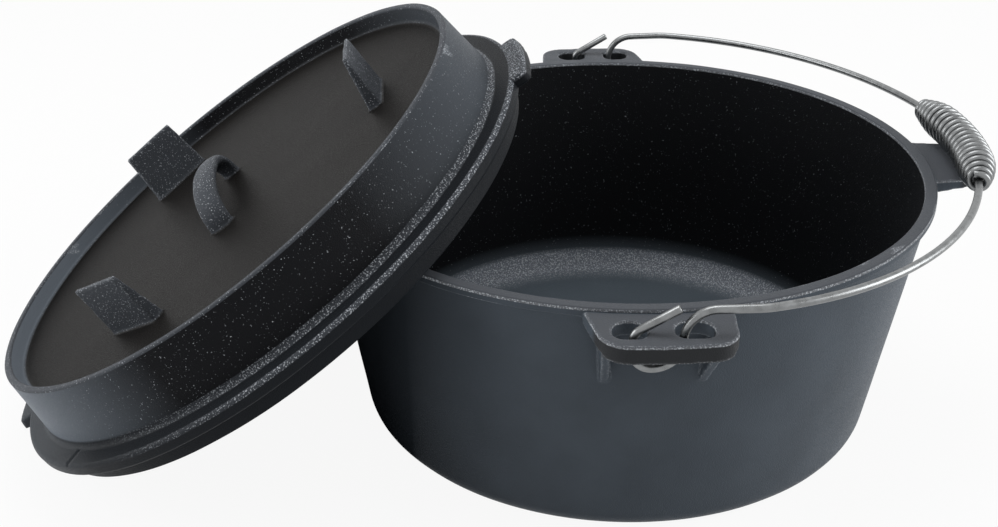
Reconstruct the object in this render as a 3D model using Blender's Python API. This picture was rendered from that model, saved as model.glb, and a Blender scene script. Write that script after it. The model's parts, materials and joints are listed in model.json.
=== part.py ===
"""Deep cast iron pot with a wire bail and a coil grip, and its lid leaning against its side.

Metres, +Z up. The origin is the middle of the pot's flat base, where it stands. The two bail ears lie on the
Y axis, the third tab and the resting bail on +X, and the lid leans on the -X side with its legs facing up.
"""

import math

import bmesh
import bpy
from mathutils import Matrix, Vector

MM = 0.001

# Pot: a tapered wall under a plain rim, turned about Z
POT_HEIGHT = 135.0 * MM
WALL_RADIUS_AT_RIM = 158.0 * MM
WALL_RADIUS_AT_BASE = 136.0 * MM
POT_WALL = 4.0 * MM
POT_FLOOR = 5.0 * MM
RIM_OVERHANG = 2.0 * MM
RIM_DEPTH = 6.0 * MM
RIM_EDGE = 0.8 * MM
BASE_CORNER_RADIUS = 12.0 * MM
FLOOR_CORNER_RADIUS = 26.0 * MM

# Ears: flat plates a little below the rim, each with two holes and a web between them
EAR_DROP = 1.8 * MM
EAR_THICKNESS = 7.5 * MM
EAR_REACH = 28.0 * MM
EAR_HALF_WIDTH_SLANTED = 31.5 * MM
EAR_HALF_WIDTH_STEEP = 33.4 * MM
EAR_TAPER_SLANTED = 6.9 * MM
EAR_TAPER_STEEP = 1.6 * MM
EAR_CORNER_SLANTED = 14.0 * MM
EAR_CORNER_STEEP = 12.0 * MM
EAR_END_BEND = 36.0 * MM
EAR_EDGE = 1.0 * MM
EAR_LIP_DEPTH = 2.7 * MM
EAR_LIP_WIDTH = 6.8 * MM
WEB_WIDTH = 11.5 * MM
HOLE_LENGTH_STEEP = 16.8 * MM
HOLE_LENGTH_SLANTED = 14.8 * MM
HOLE_WIDTH = 16.0 * MM
HOLE_OUTER_STRIP = 7.5 * MM
HOLE_CORNER = 5.0 * MM

# Two ribs below each ear, which lean towards each other on their way down
RIB_TOP_SLANTED = 23.0 * MM
RIB_TOP_STEEP = 27.0 * MM
RIB_FOOT = 21.5 * MM
RIB_THICKNESS = 4.0 * MM
RIB_DEPTH = 28.0 * MM
RIB_REACH = 20.0 * MM

# Third tab, on which the grip of the bail rests; its front side reaches further than its rear
TAB_HALF_WIDTH_FRONT = 28.2 * MM
TAB_HALF_WIDTH_REAR = 25.0 * MM
TAB_TAPER = 3.5 * MM
TAB_REACH = 20.0 * MM
TAB_THICKNESS = 7.2 * MM
TAB_THINNING = 2.8 * MM
TAB_CORNER = 5.0 * MM

# Bail: one bent wire that turns in the ears
BAIL_WIRE_RADIUS = 1.9 * MM
BAIL_REACH = 178.3 * MM
BAIL_HALF_WIDTH = 179.75 * MM
BAIL_CENTRE_REACH = 15.7 * MM
BAIL_ROUNDNESS = 1.92
BAIL_ARC_START_ANGLE = math.radians(76.0)
BAIL_ARC_STEPS = 40
BAIL_SHOULDER_REACH = 43.0 * MM
BAIL_SHOULDER_RISE = 15.05 * MM
BAIL_SHOULDER_HALF_WIDTH = 177.0 * MM
BAIL_SHOULDER_BEND = 30.0 * MM

# Hook at each end of the bail, seen along the hinge: x is towards the grip, the rest is height over the hinge
HOOK_CLEARANCE_TO_RIM = 16.5 * MM
HOOK_LEG_X = 9.2 * MM
HOOK_RETURN_X = -12.0 * MM
HOOK_BOTTOM = -13.2 * MM
HOOK_LEG_BEND = 12.8 * MM
HOOK_RETURN_BEND = 8.2 * MM
HOOK_TOP = 14.4 * MM
HOOK_TOP_BEND = 14.0 * MM
STUB_CORNER_RISE = 3.6 * MM
STUB_BEND = 5.0 * MM
STUB_TIP_X = 7.4 * MM
STUB_TIP_RISE = 15.2 * MM
BEND_STEPS = 6

# Coil grip on the middle of the bail
GRIP_LENGTH = 101.0 * MM
GRIP_CENTRE_SHIFT = 2.2 * MM
GRIP_RADIUS = 9.75 * MM
GRIP_WIRE_RADIUS = 1.65 * MM
GRIP_PITCH = 5.3 * MM
GRIP_END_PITCH = 4.1 * MM
GRIP_TAPER = 24.0 * MM
GRIP_POINTS_PER_TURN = 9

# Lid in its own frame: x and y in the plane of its ledge, z towards its legs
LID_LEDGE_RADIUS = 159.5 * MM
LID_LEDGE_WIDTH = 11.6 * MM
LID_BRIM_THICKNESS = 7.2 * MM
LID_BRIM_EDGE = 2.0 * MM
LID_BRIM_LOWER_EDGE = 1.5 * MM
LID_RING_STEP = 7.0 * MM
LID_RING_WALL = 4.0 * MM
LID_RING_DEPTH = 9.3 * MM
LID_RING_EDGE = 0.4 * MM
LID_WALL = 4.2 * MM
LID_WALL_DRAFT = 4.2 * MM
LID_WALL_FOOT_FILLET = 3.0 * MM
LID_LIP_WIDTH = 3.6 * MM
LID_LIP_HEIGHT = 34.7 * MM
LID_LIP_EDGE = 0.8 * MM
LID_TRAY_DEPTH = 9.3 * MM
LID_TRAY_DRAFT = 2.1 * MM
LID_TRAY_FILLET = 2.0 * MM
LID_PLATE = 5.5 * MM
LID_UNDERSIDE_FILLET = 8.0 * MM

# Two lifting tabs on the lid's brim, whose ends follow a circle at the top and flare out below
LID_TAB_ANGLE = math.radians(90.0)
LID_TAB_HALF_WIDTH = 27.4 * MM
LID_TAB_REACH = 6.7 * MM
LID_TAB_FLARE = 1.4 * MM
LID_TAB_THICKNESS = 6.0 * MM
LID_TAB_DROP = 0.2 * MM
LID_TAB_CORNER = 3.0 * MM
LID_TAB_END_STEPS = 8

# Three legs on the lid's plate
LEG_COUNT = 3
LEG_ANGLE = math.radians(88.43)
LEG_RADIUS = 97.6 * MM
LEG_HEIGHT = 29.0 * MM
LEG_HALF_WIDTH_TIP = 15.4 * MM
LEG_HALF_WIDTH_FOOT = 17.3 * MM
LEG_THICKNESS_TIP = 2.4 * MM
LEG_THICKNESS_FOOT = 7.5 * MM
LEG_EDGE = 0.7 * MM

# Loop handle in the middle of the lid's plate
LOOP_HALF_SPAN = 36.0 * MM
LOOP_SHIFT = 2.0 * MM
LOOP_HEIGHT = 20.5 * MM
LOOP_HALF_WIDTH = 6.9 * MM
LOOP_THICKNESS = 6.4 * MM
LOOP_BEND = 12.0 * MM
LOOP_SECTION_POINTS = 12
LOOP_SECTION_SQUARENESS = 2.6

# Small notch cast across the lid's brim
NOTCH_ANGLE = math.radians(-44.0)
NOTCH_DEPTH = 1.2 * MM
NOTCH_HALF_WIDTH = 1.6 * MM

# How the lid leans; where it stands follows from its contacts with the ground and the pot's rim
LID_LEAN = math.radians(34.64)
LID_FACING = math.radians(184.133)
LID_AZIMUTH = math.radians(182.214)
LID_GROUND_GAP = 0.1 * MM
LID_RIM_GAP = 0.1 * MM

# Shared fits and facets
RUNNING_GAP = 0.35 * MM
EMBED = 1.2 * MM
TURN_STEPS = 72
RIM_GAP_STEPS = 1440
MERGE_DISTANCE = 0.01 * MM

# Values that follow from the sizes above
RIM_RADIUS = WALL_RADIUS_AT_RIM + RIM_OVERHANG
WALL_DRAFT = (WALL_RADIUS_AT_RIM - WALL_RADIUS_AT_BASE) / POT_HEIGHT
EAR_TOP = POT_HEIGHT - EAR_DROP
EAR_UNDERSIDE = EAR_TOP - EAR_THICKNESS
HINGE_HEIGHT = EAR_TOP - EAR_THICKNESS / 2
HOOK_Y = RIM_RADIUS + HOOK_CLEARANCE_TO_RIM
BAIL_REST_RISE = EAR_TOP + RUNNING_GAP + GRIP_RADIUS - HINGE_HEIGHT
LID_PLATE_TOP = LID_LIP_HEIGHT - LID_TRAY_DEPTH
LID_RING_BOTTOM = -LID_BRIM_THICKNESS - LID_RING_DEPTH
LID_RING_RADIUS = LID_LEDGE_RADIUS - LID_RING_STEP
LID_WALL_FOOT_RADIUS = LID_LEDGE_RADIUS - LID_LEDGE_WIDTH
LID_LIP_RADIUS = LID_WALL_FOOT_RADIUS - LID_WALL_DRAFT
LID_TAB_BOTTOM = -LID_TAB_DROP - LID_TAB_THICKNESS


def wall_radius(height):
    """Outer radius of the pot's tapered wall at a height over its base."""
    return WALL_RADIUS_AT_BASE + WALL_DRAFT * height


def clear_scene():
    """Take every object out of the scene that the script starts in."""
    for item in list(bpy.data.objects):
        bpy.data.objects.remove(item, do_unlink=True)


def material(name, colour, roughness, metallic):
    """One plain material with a colour, a roughness and a metallic value."""
    made = bpy.data.materials.new(name)
    made.use_nodes = True
    shader = made.node_tree.nodes["Principled BSDF"]
    shader.inputs["Base Color"].default_value = (*colour, 1.0)
    shader.inputs["Roughness"].default_value = roughness
    shader.inputs["Metallic"].default_value = metallic
    return made


def link(name, data):
    """Put new mesh or curve data into the scene as an object."""
    made = bpy.data.objects.new(name, data)
    bpy.context.scene.collection.objects.link(made)
    return made


def rounded(corners, closed=False):
    """Points of a line through corners, each given as (point, bend radius, steps in its arc)."""
    points = []
    count = len(corners)
    for index, (point, radius, steps) in enumerate(corners):
        here = Vector(point)
        is_end = not closed and index in (0, count - 1)
        if is_end or radius == 0:
            points.append(here)
            continue
        backward = (Vector(corners[index - 1][0]) - here).normalized()
        forward = (Vector(corners[(index + 1) % count][0]) - here).normalized()
        half_angle = backward.angle(forward) / 2
        centre = here + (backward + forward).normalized() * radius / math.sin(half_angle)
        first = here + backward * radius / math.tan(half_angle) - centre
        last = here + forward * radius / math.tan(half_angle) - centre
        sweep = math.pi - 2 * half_angle
        for step in range(steps + 1):
            turned = sweep * step / steps
            spread = (first * math.sin(sweep - turned) + last * math.sin(turned)) / math.sin(sweep)
            points.append(centre + spread)
    return points


def turned(name, corners):
    """A solid turned about Z from the corners of its half section, which runs down its outer side."""
    mesh = bpy.data.meshes.new(name)
    points = rounded(corners)
    edges = [(index, index + 1) for index in range(len(points) - 1)]
    mesh.from_pydata([(point.x, 0, point.y) for point in points], edges, [])
    made = link(name, mesh)
    screw = made.modifiers.new("turn", "SCREW")
    screw.steps = TURN_STEPS
    screw.render_steps = TURN_STEPS
    screw.use_merge_vertices = True
    screw.merge_threshold = MERGE_DISTANCE
    return made


def plate(name, outline, bottom, top, edge=0.0):
    """A flat plate from its outline seen from above, with rounded edges where an edge radius is given."""
    mesh = bpy.data.meshes.new(name)
    shape = bmesh.new()
    lower = [shape.verts.new((point[0], point[1], bottom)) for point in outline]
    face = shape.faces.new(lower)
    grown = bmesh.ops.extrude_face_region(shape, geom=[face])
    upper = [item for item in grown["geom"] if isinstance(item, bmesh.types.BMVert)]
    bmesh.ops.translate(shape, verts=upper, vec=(0, 0, top - bottom))
    bmesh.ops.recalc_face_normals(shape, faces=shape.faces)
    if edge:
        flat = [item for item in shape.edges if abs(item.verts[0].co.z - item.verts[1].co.z) < MERGE_DISTANCE]
        bmesh.ops.bevel(shape, geom=flat, offset=edge, segments=2, profile=0.5, affect="EDGES")
    shape.to_mesh(mesh)
    shape.free()
    return link(name, mesh)


def loft(name, rings):
    """A closed solid through rings of points that match one for one, with a cap at each end."""
    mesh = bpy.data.meshes.new(name)
    shape = bmesh.new()
    loops = [[shape.verts.new(point) for point in ring] for ring in rings]
    count = len(loops[0])
    for last, following in zip(loops, loops[1:]):
        for index in range(count):
            after = (index + 1) % count
            shape.faces.new((last[index], last[after], following[after], following[index]))
    shape.faces.new(reversed(loops[0]))
    shape.faces.new(loops[-1])
    bmesh.ops.recalc_face_normals(shape, faces=shape.faces)
    shape.to_mesh(mesh)
    shape.free()
    return link(name, mesh)


def wire(name, points, radius, resolution):
    """A round wire with flat ends along a list of points."""
    curve = bpy.data.curves.new(name, "CURVE")
    curve.dimensions = "3D"
    curve.bevel_depth = radius
    curve.bevel_resolution = resolution
    curve.use_fill_caps = True
    spline = curve.splines.new("POLY")
    spline.points.add(len(points) - 1)
    for slot, point in zip(spline.points, points):
        slot.co = (*point, 1.0)
        slot.radius = 1.0
    spline.use_smooth = True
    return link(name, curve)


def combine(base, helper, operation):
    """Add a helper solid to an object, or cut it away, with a Boolean modifier."""
    helper.hide_render = True
    helper.display_type = "WIRE"
    change = base.modifiers.new(helper.name, "BOOLEAN")
    change.operation = operation
    change.solver = "EXACT"
    change.object = helper


def turn_copy(source, name, angle):
    """A copy of a helper solid, turned about Z."""
    copy = link(name, source.data)
    copy.matrix_world = Matrix.Rotation(angle, 4, "Z") @ source.matrix_world
    return copy


def settle(made, helpers, finish):
    """Fix an object's modifiers into one smooth shaded mesh and take its helper solids away."""
    bpy.context.view_layer.update()
    graph = bpy.context.evaluated_depsgraph_get()
    mesh = bpy.data.meshes.new_from_object(made.evaluated_get(graph))
    made.modifiers.clear()
    made.data = mesh
    mesh.shade_smooth()
    mesh.set_sharp_from_angle(angle=math.radians(32.0))
    mesh.materials.clear()
    mesh.materials.append(finish)
    for helper in helpers:
        bpy.data.objects.remove(helper, do_unlink=True)
    return made


def pot_section():
    """Half section of the pot: up its inside from the middle of the floor, over the rim and down the outside."""
    inner_at_floor = wall_radius(POT_FLOOR) - POT_WALL
    inner_at_rim = WALL_RADIUS_AT_RIM - POT_WALL
    rim_foot = POT_HEIGHT - RIM_DEPTH
    return [
        ((0, POT_FLOOR), 0, 0),
        ((inner_at_floor, POT_FLOOR), FLOOR_CORNER_RADIUS, 6),
        ((inner_at_rim, POT_HEIGHT), RIM_EDGE, 2),
        ((RIM_RADIUS, POT_HEIGHT), RIM_EDGE, 2),
        ((RIM_RADIUS, rim_foot + RIM_OVERHANG), 0, 0),
        ((wall_radius(rim_foot), rim_foot), 0, 0),
        ((WALL_RADIUS_AT_BASE, 0), BASE_CORNER_RADIUS, 5),
        ((0, 0), 0, 0),
    ]


def ear_outline():
    """Outline of the ear at -Y from above, with its inner edge inside the thickness of the rim."""
    end = -(RIM_RADIUS + EAR_REACH)
    root = -(WALL_RADIUS_AT_RIM - POT_WALL - EMBED)
    shoulder_slanted = EAR_HALF_WIDTH_SLANTED - EAR_TAPER_SLANTED
    shoulder_steep = EAR_HALF_WIDTH_STEEP - EAR_TAPER_STEEP
    corners = [
        ((-EAR_HALF_WIDTH_SLANTED, root), 0, 0),
        ((-shoulder_slanted, end + EAR_EDGE), EAR_CORNER_SLANTED, 6),
        ((0, end), EAR_END_BEND, 1),
        ((shoulder_steep, end + 2 * EAR_EDGE), EAR_CORNER_STEEP, 6),
        ((EAR_HALF_WIDTH_STEEP, root), 0, 0),
    ]
    return rounded(corners)


def ear_hollow(name):
    """What is cut away below the ear at -Y, so that its outer edge is left with a lip that is turned down."""
    lip_inside = -(RIM_RADIUS + EAR_REACH - EAR_LIP_WIDTH)
    outline = [
        (-2 * EAR_HALF_WIDTH_SLANTED, lip_inside),
        (2 * EAR_HALF_WIDTH_STEEP, lip_inside),
        (2 * EAR_HALF_WIDTH_STEEP, 0),
        (-2 * EAR_HALF_WIDTH_SLANTED, 0),
    ]
    return plate(name, outline, EAR_UNDERSIDE - 2 * EAR_LIP_DEPTH, EAR_UNDERSIDE)


def hole_outline(first_x, last_x):
    """Outline of one hole in the ear at -Y, between two places along X."""
    outer = -(RIM_RADIUS + EAR_REACH - HOLE_OUTER_STRIP)
    inner = outer + HOLE_WIDTH
    corners = [(first_x, outer), (last_x, outer), (last_x, inner), (first_x, inner)]
    return rounded([(corner, HOLE_CORNER, 3) for corner in corners], closed=True)


def rib_solid(name, top_x, foot_x):
    """One rib between the ear's underside and the pot's wall, at -Y, from its place at the top to its foot."""
    foot = EAR_UNDERSIDE - RIB_DEPTH
    wall_y = -wall_radius(EAR_UNDERSIDE)
    foot_y = -wall_radius(foot) + EMBED
    side = [
        (foot_x, foot_y, foot),
        (top_x, wall_y - RIB_REACH, EAR_UNDERSIDE - EMBED),
        (top_x, wall_y - RIB_REACH, EAR_UNDERSIDE + EMBED),
        (top_x, wall_y + EMBED, EAR_UNDERSIDE + EMBED),
    ]
    rings = []
    for offset in (-RIB_THICKNESS / 2, RIB_THICKNESS / 2):
        rings.append([(x + offset, y, z) for x, y, z in side])
    return loft(name, rings)


def inner_core(name):
    """The pot's inside from the ears' underside up, which trims what reaches through the wall."""
    core = [
        ((0, POT_HEIGHT + EMBED), 0, 0),
        ((WALL_RADIUS_AT_RIM - POT_WALL + EMBED, POT_HEIGHT + EMBED), 0, 0),
        ((WALL_RADIUS_AT_RIM - POT_WALL + EMBED, EAR_UNDERSIDE - 2 * EAR_LIP_DEPTH), 0, 0),
        ((0, EAR_UNDERSIDE - 2 * EAR_LIP_DEPTH), 0, 0),
    ]
    return turned(name, core)


def tab_solid(name):
    """The third tab at +X, thinner at its end than at the rim."""
    root = WALL_RADIUS_AT_RIM - POT_WALL - EMBED
    end = RIM_RADIUS + TAB_REACH
    corners = [
        ((root, -TAB_HALF_WIDTH_FRONT), 0, 0),
        ((end, -TAB_HALF_WIDTH_FRONT + TAB_TAPER), TAB_CORNER, 4),
        ((end, TAB_HALF_WIDTH_REAR - TAB_TAPER), TAB_CORNER, 4),
        ((root, TAB_HALF_WIDTH_REAR), 0, 0),
    ]
    made = plate(name, rounded(corners), EAR_TOP - TAB_THICKNESS, EAR_TOP)
    slope = TAB_THINNING / TAB_REACH
    for vertex in made.data.vertices:
        if vertex.co.z < EAR_TOP - TAB_THICKNESS / 2:
            vertex.co.z += slope * max(0.0, vertex.co.x - RIM_RADIUS)
    return made


def make_pot(finish):
    """The pot with its two ears, their ribs and holes, and the third tab, as one casting."""
    pot = turned("pot", pot_section())
    core = inner_core("core")
    half_turn = math.pi
    ear = plate("ear", ear_outline(), EAR_UNDERSIDE - EAR_LIP_DEPTH, EAR_TOP, EAR_EDGE)
    ear_rear = turn_copy(ear, "ear_rear", half_turn)
    hollow = ear_hollow("ear_hollow")
    hollow_rear = turn_copy(hollow, "ear_hollow_rear", half_turn)
    combine(ear, hollow, "DIFFERENCE")
    combine(ear_rear, hollow_rear, "DIFFERENCE")
    added = [ear, ear_rear, tab_solid("tab")]
    for helper in added:
        combine(helper, core, "DIFFERENCE")
    for side, top, foot in (("slanted", -RIB_TOP_SLANTED, -RIB_FOOT), ("steep", RIB_TOP_STEEP, RIB_FOOT)):
        rib = rib_solid("rib_" + side, top, foot)
        added.append(rib)
        added.append(turn_copy(rib, "rib_rear_" + side, half_turn))
    holes = []
    spans = [
        (WEB_WIDTH / 2, WEB_WIDTH / 2 + HOLE_LENGTH_STEEP),
        (-WEB_WIDTH / 2 - HOLE_LENGTH_SLANTED, -WEB_WIDTH / 2),
    ]
    for number, (first_x, last_x) in enumerate(spans):
        outline = hole_outline(first_x, last_x)
        hole = plate("hole_%d" % number, outline, EAR_UNDERSIDE - EMBED, EAR_TOP + EMBED)
        holes.append(hole)
        holes.append(turn_copy(hole, "hole_rear_%d" % number, half_turn))
    for helper in added:
        combine(pot, helper, "UNION")
    for helper in holes:
        combine(pot, helper, "DIFFERENCE")
    return settle(pot, added + holes + [core, hollow, hollow_rear], finish)


def lid_section():
    """Half section of the lid: out over the plate, down the outside to the ring, and back along the underside."""
    underside = LID_PLATE_TOP - LID_PLATE
    ring_inner = LID_RING_RADIUS - LID_RING_WALL
    tray_radius = LID_LIP_RADIUS - LID_LIP_WIDTH - LID_TRAY_DRAFT
    foot_inner = LID_WALL_FOOT_RADIUS - LID_WALL
    corner_inner = foot_inner - LID_WALL_DRAFT * underside / LID_LIP_HEIGHT
    return [
        ((0, LID_PLATE_TOP), 0, 0),
        ((tray_radius, LID_PLATE_TOP), LID_TRAY_FILLET, 2),
        ((LID_LIP_RADIUS - LID_LIP_WIDTH, LID_LIP_HEIGHT), LID_LIP_EDGE, 2),
        ((LID_LIP_RADIUS, LID_LIP_HEIGHT), LID_LIP_EDGE, 2),
        ((LID_WALL_FOOT_RADIUS, 0), LID_WALL_FOOT_FILLET, 4),
        ((LID_LEDGE_RADIUS, 0), LID_BRIM_EDGE, 3),
        ((LID_LEDGE_RADIUS, -LID_BRIM_THICKNESS), LID_BRIM_LOWER_EDGE, 2),
        ((LID_RING_RADIUS, -LID_BRIM_THICKNESS), 0, 0),
        ((LID_RING_RADIUS, LID_RING_BOTTOM), LID_RING_EDGE, 1),
        ((ring_inner, LID_RING_BOTTOM), LID_RING_EDGE, 1),
        ((ring_inner, -LID_BRIM_THICKNESS), 0, 0),
        ((foot_inner, 0), LID_WALL_FOOT_FILLET, 2),
        ((corner_inner, underside), LID_UNDERSIDE_FILLET, 4),
        ((0, underside), 0, 0),
    ]


def lid_tab_solid(name):
    """One lifting tab at +X of the lid: its end is part of a circle round the lid and leans outward below."""
    end = LID_LEDGE_RADIUS + LID_TAB_REACH
    half_sweep = math.asin(LID_TAB_HALF_WIDTH / end)
    corners = [((LID_RING_RADIUS, -LID_TAB_HALF_WIDTH), 0, 0)]
    for step in range(LID_TAB_END_STEPS + 1):
        angle = half_sweep * (2 * step / LID_TAB_END_STEPS - 1)
        bend = LID_TAB_CORNER if step in (0, LID_TAB_END_STEPS) else 0
        corners.append(((end * math.cos(angle), end * math.sin(angle)), bend, 3))
    corners.append(((LID_RING_RADIUS, LID_TAB_HALF_WIDTH), 0, 0))
    made = plate(name, rounded(corners), LID_TAB_BOTTOM, -LID_TAB_DROP)
    for vertex in made.data.vertices:
        if vertex.co.z < LID_TAB_BOTTOM / 2 and vertex.co.x > LID_LEDGE_RADIUS - EMBED:
            vertex.co.x += LID_TAB_FLARE
    return made


def leg_solid(name):
    """One leg at +X of the lid: its outer face upright, its inner face sloping to a thicker foot."""
    levels = [
        (LID_PLATE_TOP - EMBED, LEG_THICKNESS_FOOT, LEG_HALF_WIDTH_FOOT),
        (LID_PLATE_TOP + LEG_HEIGHT, LEG_THICKNESS_TIP, LEG_HALF_WIDTH_TIP),
    ]
    rings = []
    for height, thickness, half_width in levels:
        corners = [
            (LEG_RADIUS, -half_width),
            (LEG_RADIUS, half_width),
            (LEG_RADIUS - thickness, half_width),
            (LEG_RADIUS - thickness, -half_width),
        ]
        outline = rounded([(corner, LEG_EDGE, 1) for corner in corners], closed=True)
        rings.append([(point.x, point.y, height) for point in outline])
    return loft(name, rings)


def loop_solid(name):
    """The loop handle: a flat arch with a soft section, standing on the plate along the lid's x."""
    half_thickness = LOOP_THICKNESS / 2
    reach = LOOP_HALF_SPAN - half_thickness
    foot = LID_PLATE_TOP - EMBED
    crown = LID_PLATE_TOP + LOOP_HEIGHT - half_thickness
    corners = [
        ((-reach, foot), 0, 0),
        ((-reach, crown), LOOP_BEND, 6),
        ((reach, crown), LOOP_BEND, 6),
        ((reach, foot), 0, 0),
    ]
    path = rounded(corners)
    rings = []
    for index, point in enumerate(path):
        before = path[max(index - 1, 0)]
        after = path[min(index + 1, len(path) - 1)]
        along = (after - before).normalized()
        across = Vector((-along.y, along.x))
        ring = []
        for step in range(LOOP_SECTION_POINTS):
            angle = 2 * math.pi * (step + 0.5) / LOOP_SECTION_POINTS
            power = 2 / LOOP_SECTION_SQUARENESS
            side = math.copysign(abs(math.cos(angle)) ** power, math.cos(angle)) * LOOP_HALF_WIDTH
            lift = math.copysign(abs(math.sin(angle)) ** power, math.sin(angle)) * half_thickness
            spot = point + across * lift
            ring.append((LOOP_SHIFT + spot.x, side, spot.y))
        rings.append(ring)
    return loft(name, rings)


def notch_solid(name):
    """A small wedge that cuts the notch across the brim, along the lid's x."""
    rings = []
    for reach in (LID_WALL_FOOT_RADIUS + NOTCH_HALF_WIDTH, LID_LEDGE_RADIUS + EMBED):
        rings.append([
            (reach, 0, -NOTCH_DEPTH),
            (reach, 2 * NOTCH_HALF_WIDTH, NOTCH_DEPTH),
            (reach, -2 * NOTCH_HALF_WIDTH, NOTCH_DEPTH),
        ])
    return loft(name, rings)


def lid_turn():
    """How the lid is turned from its own frame to the way it leans."""
    return Matrix.Rotation(LID_FACING + math.pi / 2, 3, "Z") @ Matrix.Rotation(LID_LEAN, 3, "X")


def lid_rim_gap(centre):
    """Least distance from the rounded top edge of the pot's rim to the lid's ring, below zero if they cross."""
    to_lid = lid_turn().transposed()
    bend_radius = RIM_RADIUS - RIM_EDGE
    ring_inner = LID_RING_RADIUS - LID_RING_WALL
    least = math.inf
    for step in range(RIM_GAP_STEPS):
        angle = 2 * math.pi * step / RIM_GAP_STEPS
        rim = Vector((bend_radius * math.cos(angle), bend_radius * math.sin(angle), POT_HEIGHT - RIM_EDGE))
        spot = to_lid @ (rim - centre)
        reach = math.hypot(spot.x, spot.y)
        outward = max(ring_inner - reach, reach - LID_RING_RADIUS)
        below = LID_RING_BOTTOM - spot.z
        inside = min(max(outward, below), 0.0)
        least = min(least, math.hypot(max(outward, 0.0), max(below, 0.0)) + inside)
    return least - RIM_EDGE


def lid_centre():
    """Where the lid's middle stands: its lower tab just over the ground and its ring against the rim."""
    tab_end = LID_LEDGE_RADIUS + LID_TAB_REACH + LID_TAB_FLARE
    height = LID_GROUND_GAP + tab_end * math.sin(LID_LEAN) - LID_TAB_BOTTOM * math.cos(LID_LEAN)
    nearest = RIM_RADIUS
    furthest = RIM_RADIUS + LID_LEDGE_RADIUS
    while furthest - nearest > MERGE_DISTANCE:
        distance = (nearest + furthest) / 2
        centre = Vector((distance * math.cos(LID_AZIMUTH), distance * math.sin(LID_AZIMUTH), height))
        if lid_rim_gap(centre) > LID_RIM_GAP:
            furthest = distance
        else:
            nearest = distance
    return centre


def make_lid(finish):
    """The lid with its tabs, legs and loop handle, as one casting, leaning where it stands."""
    lid = turned("lid", lid_section())
    tab = lid_tab_solid("lid_tab")
    leg = leg_solid("leg")
    added = [turn_copy(tab, "lid_tab_%d" % side, LID_TAB_ANGLE + side * math.pi) for side in (0, 1)]
    for number in range(LEG_COUNT):
        angle = LEG_ANGLE + 2 * math.pi * number / LEG_COUNT
        added.append(turn_copy(leg, "leg_%d" % number, angle))
    added.append(loop_solid("loop"))
    notch = notch_solid("notch")
    notch.rotation_euler = (0, 0, NOTCH_ANGLE)
    for helper in added:
        combine(lid, helper, "UNION")
    combine(lid, notch, "DIFFERENCE")
    settle(lid, added + [tab, leg, notch], finish)
    centre = lid_centre()
    lid.matrix_world = Matrix.Translation(centre) @ lid_turn().to_4x4()
    print("lid: centre at %.2f, %.2f, %.2f mm" % tuple(centre / MM))
    return lid


def bail_height(reach):
    """Height of the bail's wire over the hinge at a distance from it, so that the grip rests on the tab."""
    share = (reach - BAIL_SHOULDER_REACH) / (BAIL_REACH - BAIL_SHOULDER_REACH)
    return BAIL_SHOULDER_RISE + (BAIL_REST_RISE - BAIL_SHOULDER_RISE) * share


def bail_arc_point(angle):
    """A point of the bail's wide arc: an oval a little fuller than an ellipse; the angle is 0 at the grip."""
    power = 2 / BAIL_ROUNDNESS
    depth = BAIL_REACH - BAIL_CENTRE_REACH
    x = BAIL_CENTRE_REACH + depth * math.cos(angle) ** power
    y = BAIL_HALF_WIDTH * math.copysign(abs(math.sin(angle)) ** power, math.sin(angle))
    return Vector((x, y, bail_height(x)))


def hook_corners(side):
    """Corners of one hook from the tip of its stub to the bail's shoulder, on the side -1 or +1 of Y."""
    y = side * HOOK_Y
    shoulder = (BAIL_SHOULDER_REACH, side * BAIL_SHOULDER_HALF_WIDTH, BAIL_SHOULDER_RISE)
    return [
        ((STUB_TIP_X, y, STUB_TIP_RISE), 0, 0),
        ((HOOK_RETURN_X, y, STUB_CORNER_RISE), STUB_BEND, BEND_STEPS),
        ((HOOK_RETURN_X, y, HOOK_BOTTOM), HOOK_RETURN_BEND, BEND_STEPS),
        ((HOOK_LEG_X, y, HOOK_BOTTOM), HOOK_LEG_BEND, BEND_STEPS),
        ((HOOK_LEG_X, y, HOOK_TOP), HOOK_TOP_BEND, BEND_STEPS),
        (shoulder, BAIL_SHOULDER_BEND, BEND_STEPS // 2),
    ]


def bail_points():
    """The bail's whole centre line, from one stub to the other, about the middle of the hinge."""
    arc = []
    for step in range(BAIL_ARC_STEPS + 1):
        share = 2 * step / BAIL_ARC_STEPS - 1
        arc.append(bail_arc_point(BAIL_ARC_START_ANGLE * share))
    front = rounded(hook_corners(-1) + [(arc[0], 0, 0)])
    rear = rounded(hook_corners(1) + [(arc[-1], 0, 0)])
    return front[:-1] + arc + list(reversed(rear[:-1]))


def grip_coil_radius(from_end):
    """Radius of the coil's centre line at a distance from the grip's nearer end."""
    smallest = BAIL_WIRE_RADIUS + RUNNING_GAP + GRIP_WIRE_RADIUS
    largest = GRIP_RADIUS - GRIP_WIRE_RADIUS
    share = min(1.0, max(0.0, from_end) / GRIP_TAPER)
    return smallest + (largest - smallest) * math.sin(math.pi / 2 * share)


def grip_pitch(from_end):
    """Length along the bail of one turn, closer in the tapered ends than in the middle."""
    share = min(1.0, max(0.0, from_end) / GRIP_TAPER)
    return GRIP_END_PITCH + (GRIP_PITCH - GRIP_END_PITCH) * share


def grip_line():
    """Finely spaced points of the bail's arc with their distances along it, zero at the grip's middle."""
    steps = 400
    points = []
    for step in range(steps + 1):
        points.append(bail_arc_point(BAIL_ARC_START_ANGLE * (2 * step / steps - 1)))
    distances = [0.0]
    for last, following in zip(points, points[1:]):
        distances.append(distances[-1] + (following - last).length)
    middle = distances[steps // 2] - GRIP_CENTRE_SHIFT
    return points, [distance - middle for distance in distances]


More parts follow.
